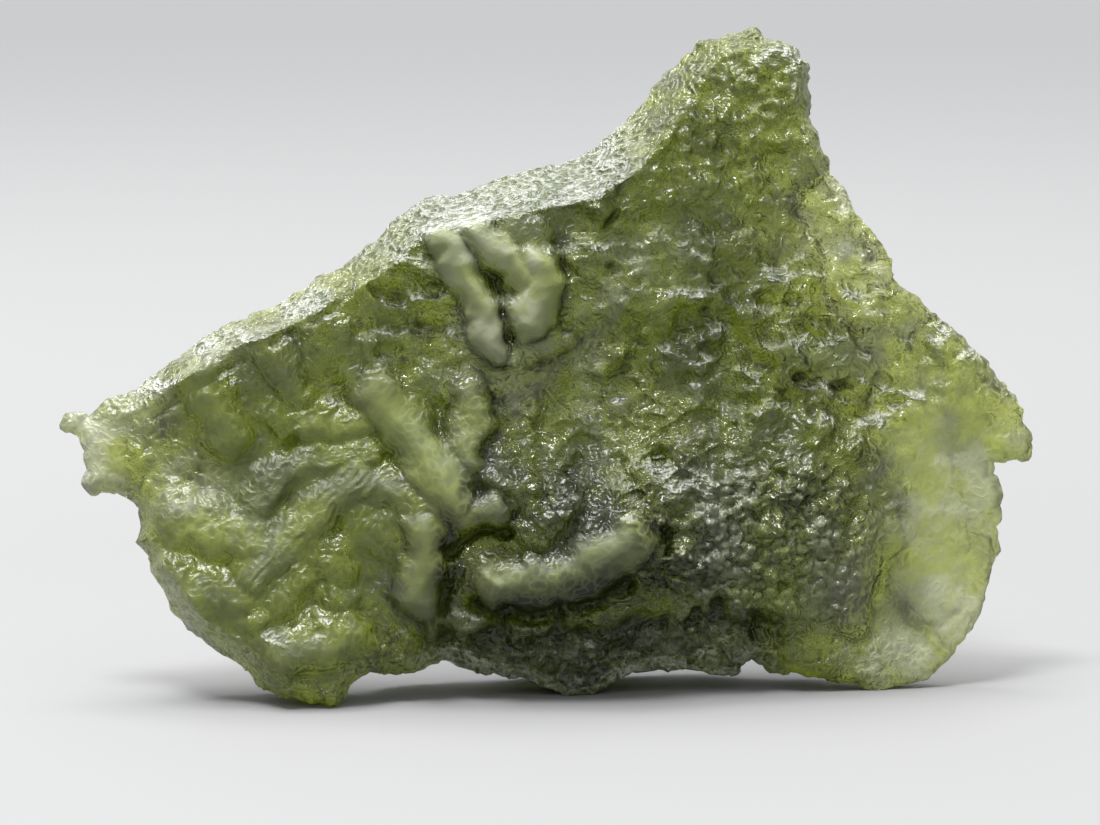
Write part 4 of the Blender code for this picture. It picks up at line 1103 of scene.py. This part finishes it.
def glass():
    """Green glass whose colour and clearness follow the traits of the surface, with painted shade in creases,
    on undersides and in shade zones, a painted glow on lobes and frosted zones, and painted white glints.
    """
    material = bpy.data.materials.new("moldavite_glass")
    material.use_nodes = True
    tree = material.node_tree
    shader, out = tree.nodes["Principled BSDF"], tree.nodes["Material Output"]
    where = tree.nodes.new("ShaderNodeTexCoord").outputs["Object"]
    traits = (trait(tree, name) for name in TRAITS)
    sugar_and_glints, broken, crease_shade, lobe, frost_and_glow, zone_shade, calm, up, patches = traits
    shader.inputs["Metallic"].default_value = 0.0
    shader.inputs["IOR"].default_value = GLASS_IOR

    wrinkles = wrinkles_node(tree, where, WRINKLES[0])
    frost_and_glow = maths(tree, "MULTIPLY", frost_and_glow, ranged(tree, patches, *FROST_AND_GLOW_IN_PATCHES))
    colour = mixed(tree, ranged(tree, patches, *BLOTCHES), PLAIN_COLOUR, BLOTCH_COLOUR)
    # Lobes are paler: milkier glass with a painted glow.
    colour = mixed(tree, maths(tree, "MULTIPLY", lobe, LOBE_TINTED), colour, LOBE_MILK_AND_GLOW_COLOUR)
    # Frosted zones are paler: frost with a painted glow.
    colour = mixed(tree, frost_and_glow, colour, FROST_AND_GLOW_COLOUR)
    colour = mixed(tree, broken, colour, BROKEN_COLOUR)
    # Painted shade: the shade zones darken where they face down and along the wrinkles, then the creases, the
    # wrinkles' hollows and every underside darken, less along the wrinkles on lobes and in calm zones.
    under = ranged(tree, up, *FACES_DOWN)
    uneven = maths(tree, "MULTIPLY", under, ZONE_SHADE_UNDERNEATH)
    uneven = maths(tree, "ADD", uneven, ranged(tree, wrinkles, *ZONE_SHADE_IN_WRINKLES))
    colour = mixed(tree, maths(tree, "MULTIPLY", zone_shade, uneven), colour, ZONE_SHADE_COLOUR)
    dark = ranged(tree, wrinkles, *DARK_WRINKLES)
    for share, kept in ((lobe, DARK_KEPT_ON_LOBES), (calm, DARK_KEPT_WHERE_CALM)):
        dark = maths(tree, "MULTIPLY", dark, ranged(tree, share, 0.0, 1.0, 1.0, kept))
    dark = maths(tree, "MAXIMUM", dark, maths(tree, "MULTIPLY", under, UNDERSIDES))
    crease_shade = maths(tree, "MAXIMUM", crease_shade, dark)
    colour = mixed(tree, crease_shade, colour, CREASE_SHADE_COLOUR)
    # The sugary edge with its dark specks, and painted white glints.
    specks = mixed(tree, ranged(tree, wrinkles, *SPECKS), SPECK_COLOUR, SUGAR_AND_GLINT_COLOUR)
    colour = mixed(tree, sugar_and_glints, colour, specks)
    link(tree, colour, shader.inputs["Base Color"])

    clearness = ranged(tree, sugar_and_glints, 0.0, 1.0, CLEARNESS, CLEARNESS + SUGAR_AND_GLINT_CLEARNESS)
    for share, change in ((lobe, LOBE_CLEARNESS), (frost_and_glow, FROST_AND_GLOW_CLEARNESS), (broken, BROKEN_CLEARNESS)):
        clearness = maths(tree, "ADD", clearness, maths(tree, "MULTIPLY", share, change))
    link(tree, clearness, shader.inputs["Transmission Weight"])

    satin = ranged(tree, patches, *SATIN)
    for share, change in ((lobe, SATIN_ON_LOBES), (calm, SATIN_WHERE_CALM)):
        satin = maths(tree, "ADD", satin, maths(tree, "MULTIPLY", share, change))
    link(tree, satin, shader.inputs["Roughness"])

    off_lobes = ranged(tree, lobe, 0.0, LOBE_SMOOTH_FROM, SCALES[1], 0.0)
    height = maths(tree, "MULTIPLY", scales_node(tree, where, SCALES[0]), off_lobes)
    fewest = WRINKLES[1] * WRINKLES_ON_LOBES
    rough = ranged(tree, lobe, 0.0, LOBE_SMOOTH_FROM, WRINKLES[1], fewest)
    rough = maths(tree, "ADD", rough, maths(tree, "MULTIPLY", sugar_and_glints, SUGAR_HEIGHT))
    height = maths(tree, "ADD", height, maths(tree, "MULTIPLY", wrinkles, rough))
    height = maths(tree, "MULTIPLY", height, ranged(tree, calm, 0.0, 1.0, 1.0, RELIEF_WHERE_CALM))
    link(tree, bump(tree, height), shader.inputs["Normal"])

    inside = tree.nodes.new("ShaderNodeVolumeAbsorption")
    inside.inputs["Color"].default_value = GLASS_TINT
    inside.inputs["Density"].default_value = GLASS_DENSITY
    link(tree, inside.outputs["Volume"], out.inputs["Volume"])
    return material


def make_floor():
    """A pale floor whose colour is painted darker near the stone and paler further off, against the pool of
    light that the lamps throw round the stone.
    """
    mesh = bpy.data.meshes.new("floor")
    turns = [2 * math.pi * k / FLOOR_SIDES for k in range(FLOOR_SIDES)]
    rim = [(FLOOR_RADIUS * math.cos(turn), FLOOR_RADIUS * math.sin(turn), 0.0) for turn in turns]
    mesh.from_pydata(rim, [], [tuple(range(FLOOR_SIDES))])
    floor = bpy.data.objects.new("floor", mesh)
    bpy.context.collection.objects.link(floor)
    material = bpy.data.materials.new("floor_paper")
    material.use_nodes = True
    tree = material.node_tree
    shader = tree.nodes["Principled BSDF"]
    where = tree.nodes.new("ShaderNodeTexCoord").outputs["Object"]
    length = tree.nodes.new("ShaderNodeVectorMath")
    length.operation = "LENGTH"
    link(tree, where, length.inputs[0])
    ramp = tree.nodes.new("ShaderNodeValToRGB")
    ramp.color_ramp.elements[0].position = 0.0
    ramp.color_ramp.elements[0].color = (*FLOOR_NEAR, 1)
    ramp.color_ramp.elements[1].position = 1.0
    ramp.color_ramp.elements[1].color = (*FLOOR_FAR, 1)
    link(tree, ranged(tree, length.outputs["Value"], *FLOOR_FADE, 0.0, 1.0), ramp.inputs["Fac"])
    link(tree, ramp.outputs["Color"], shader.inputs["Base Color"])
    shader.inputs["Roughness"].default_value = 0.9
    shader.inputs["Specular IOR Level"].default_value = 0.2
    mesh.materials.append(material)


def make_light(name, size, power, place_m, aim_m):
    lamp = bpy.data.lights.new(name, "AREA")
    lamp.shape = "RECTANGLE"
    lamp.size, lamp.size_y = size
    lamp.energy = power
    light = bpy.data.objects.new(name, lamp)
    light.location = place_m
    light.rotation_euler = (Vector(aim_m) - Vector(place_m)).to_track_quat("-Z", "Y").to_euler()
    bpy.context.collection.objects.link(light)


def make_world():
    """A sky that is bright overhead and behind the stone, like a white sweep of paper, and dim elsewhere."""
    world = bpy.data.worlds.new("studio")
    bpy.context.scene.world = world
    world.use_nodes = True
    tree = world.node_tree
    sky = tree.nodes["Background"]
    sky.inputs["Color"].default_value = SKY_COLOUR
    parts = tree.nodes.new("ShaderNodeSeparateXYZ")
    link(tree, tree.nodes.new("ShaderNodeTexCoord").outputs["Generated"], parts.inputs["Vector"])
    above = ranged(tree, parts.outputs["Z"], *SKY_OVERHEAD)
    behind = ranged(tree, parts.outputs["Y"], *SKY_BEHIND)
    link(tree, maths(tree, "MAXIMUM", above, behind), sky.inputs["Strength"])


def make_camera():
    camera = bpy.data.cameras.new("camera")
    camera.lens = LENS_MM
    camera.sensor_width = 36.0
    camera.clip_start = 0.01
    camera.clip_end = 20.0
    camera.dof.use_dof = False
    holder = bpy.data.objects.new("camera", camera)
    bpy.context.collection.objects.link(holder)
    away = Vector((0, -math.cos(VIEW_ELEVATION), math.sin(VIEW_ELEVATION)))
    distance = FRAME_WIDTH * LENS_MM / camera.sensor_width
    holder.location = place(*VIEW_CENTRE) + away * distance
    holder.rotation_euler = (-away).to_track_quat("-Z", "Y").to_euler()
    bpy.context.scene.camera = holder


make_world()
make_floor()
make_light("overhead", (0.26, 0.18), 2.6, (-0.06, 0.03, 0.42), (0, 0, 0.02))
make_light("key", (0.12, 0.1), 2.1, (-0.09, -0.16, 0.42), (0, 0, 0.015))
stone = make_stone()
stone.data.materials.append(glass())
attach(stone, "root")
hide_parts("moldavite")
make_camera()

scene = bpy.context.scene
scene.view_settings.view_transform = "Standard"
scene.cycles.use_denoising = True
scene.cycles.max_bounces = 5
scene.cycles.transmission_bounces = 5
scene.cycles.diffuse_bounces = 1
scene.cycles.glossy_bounces = 3
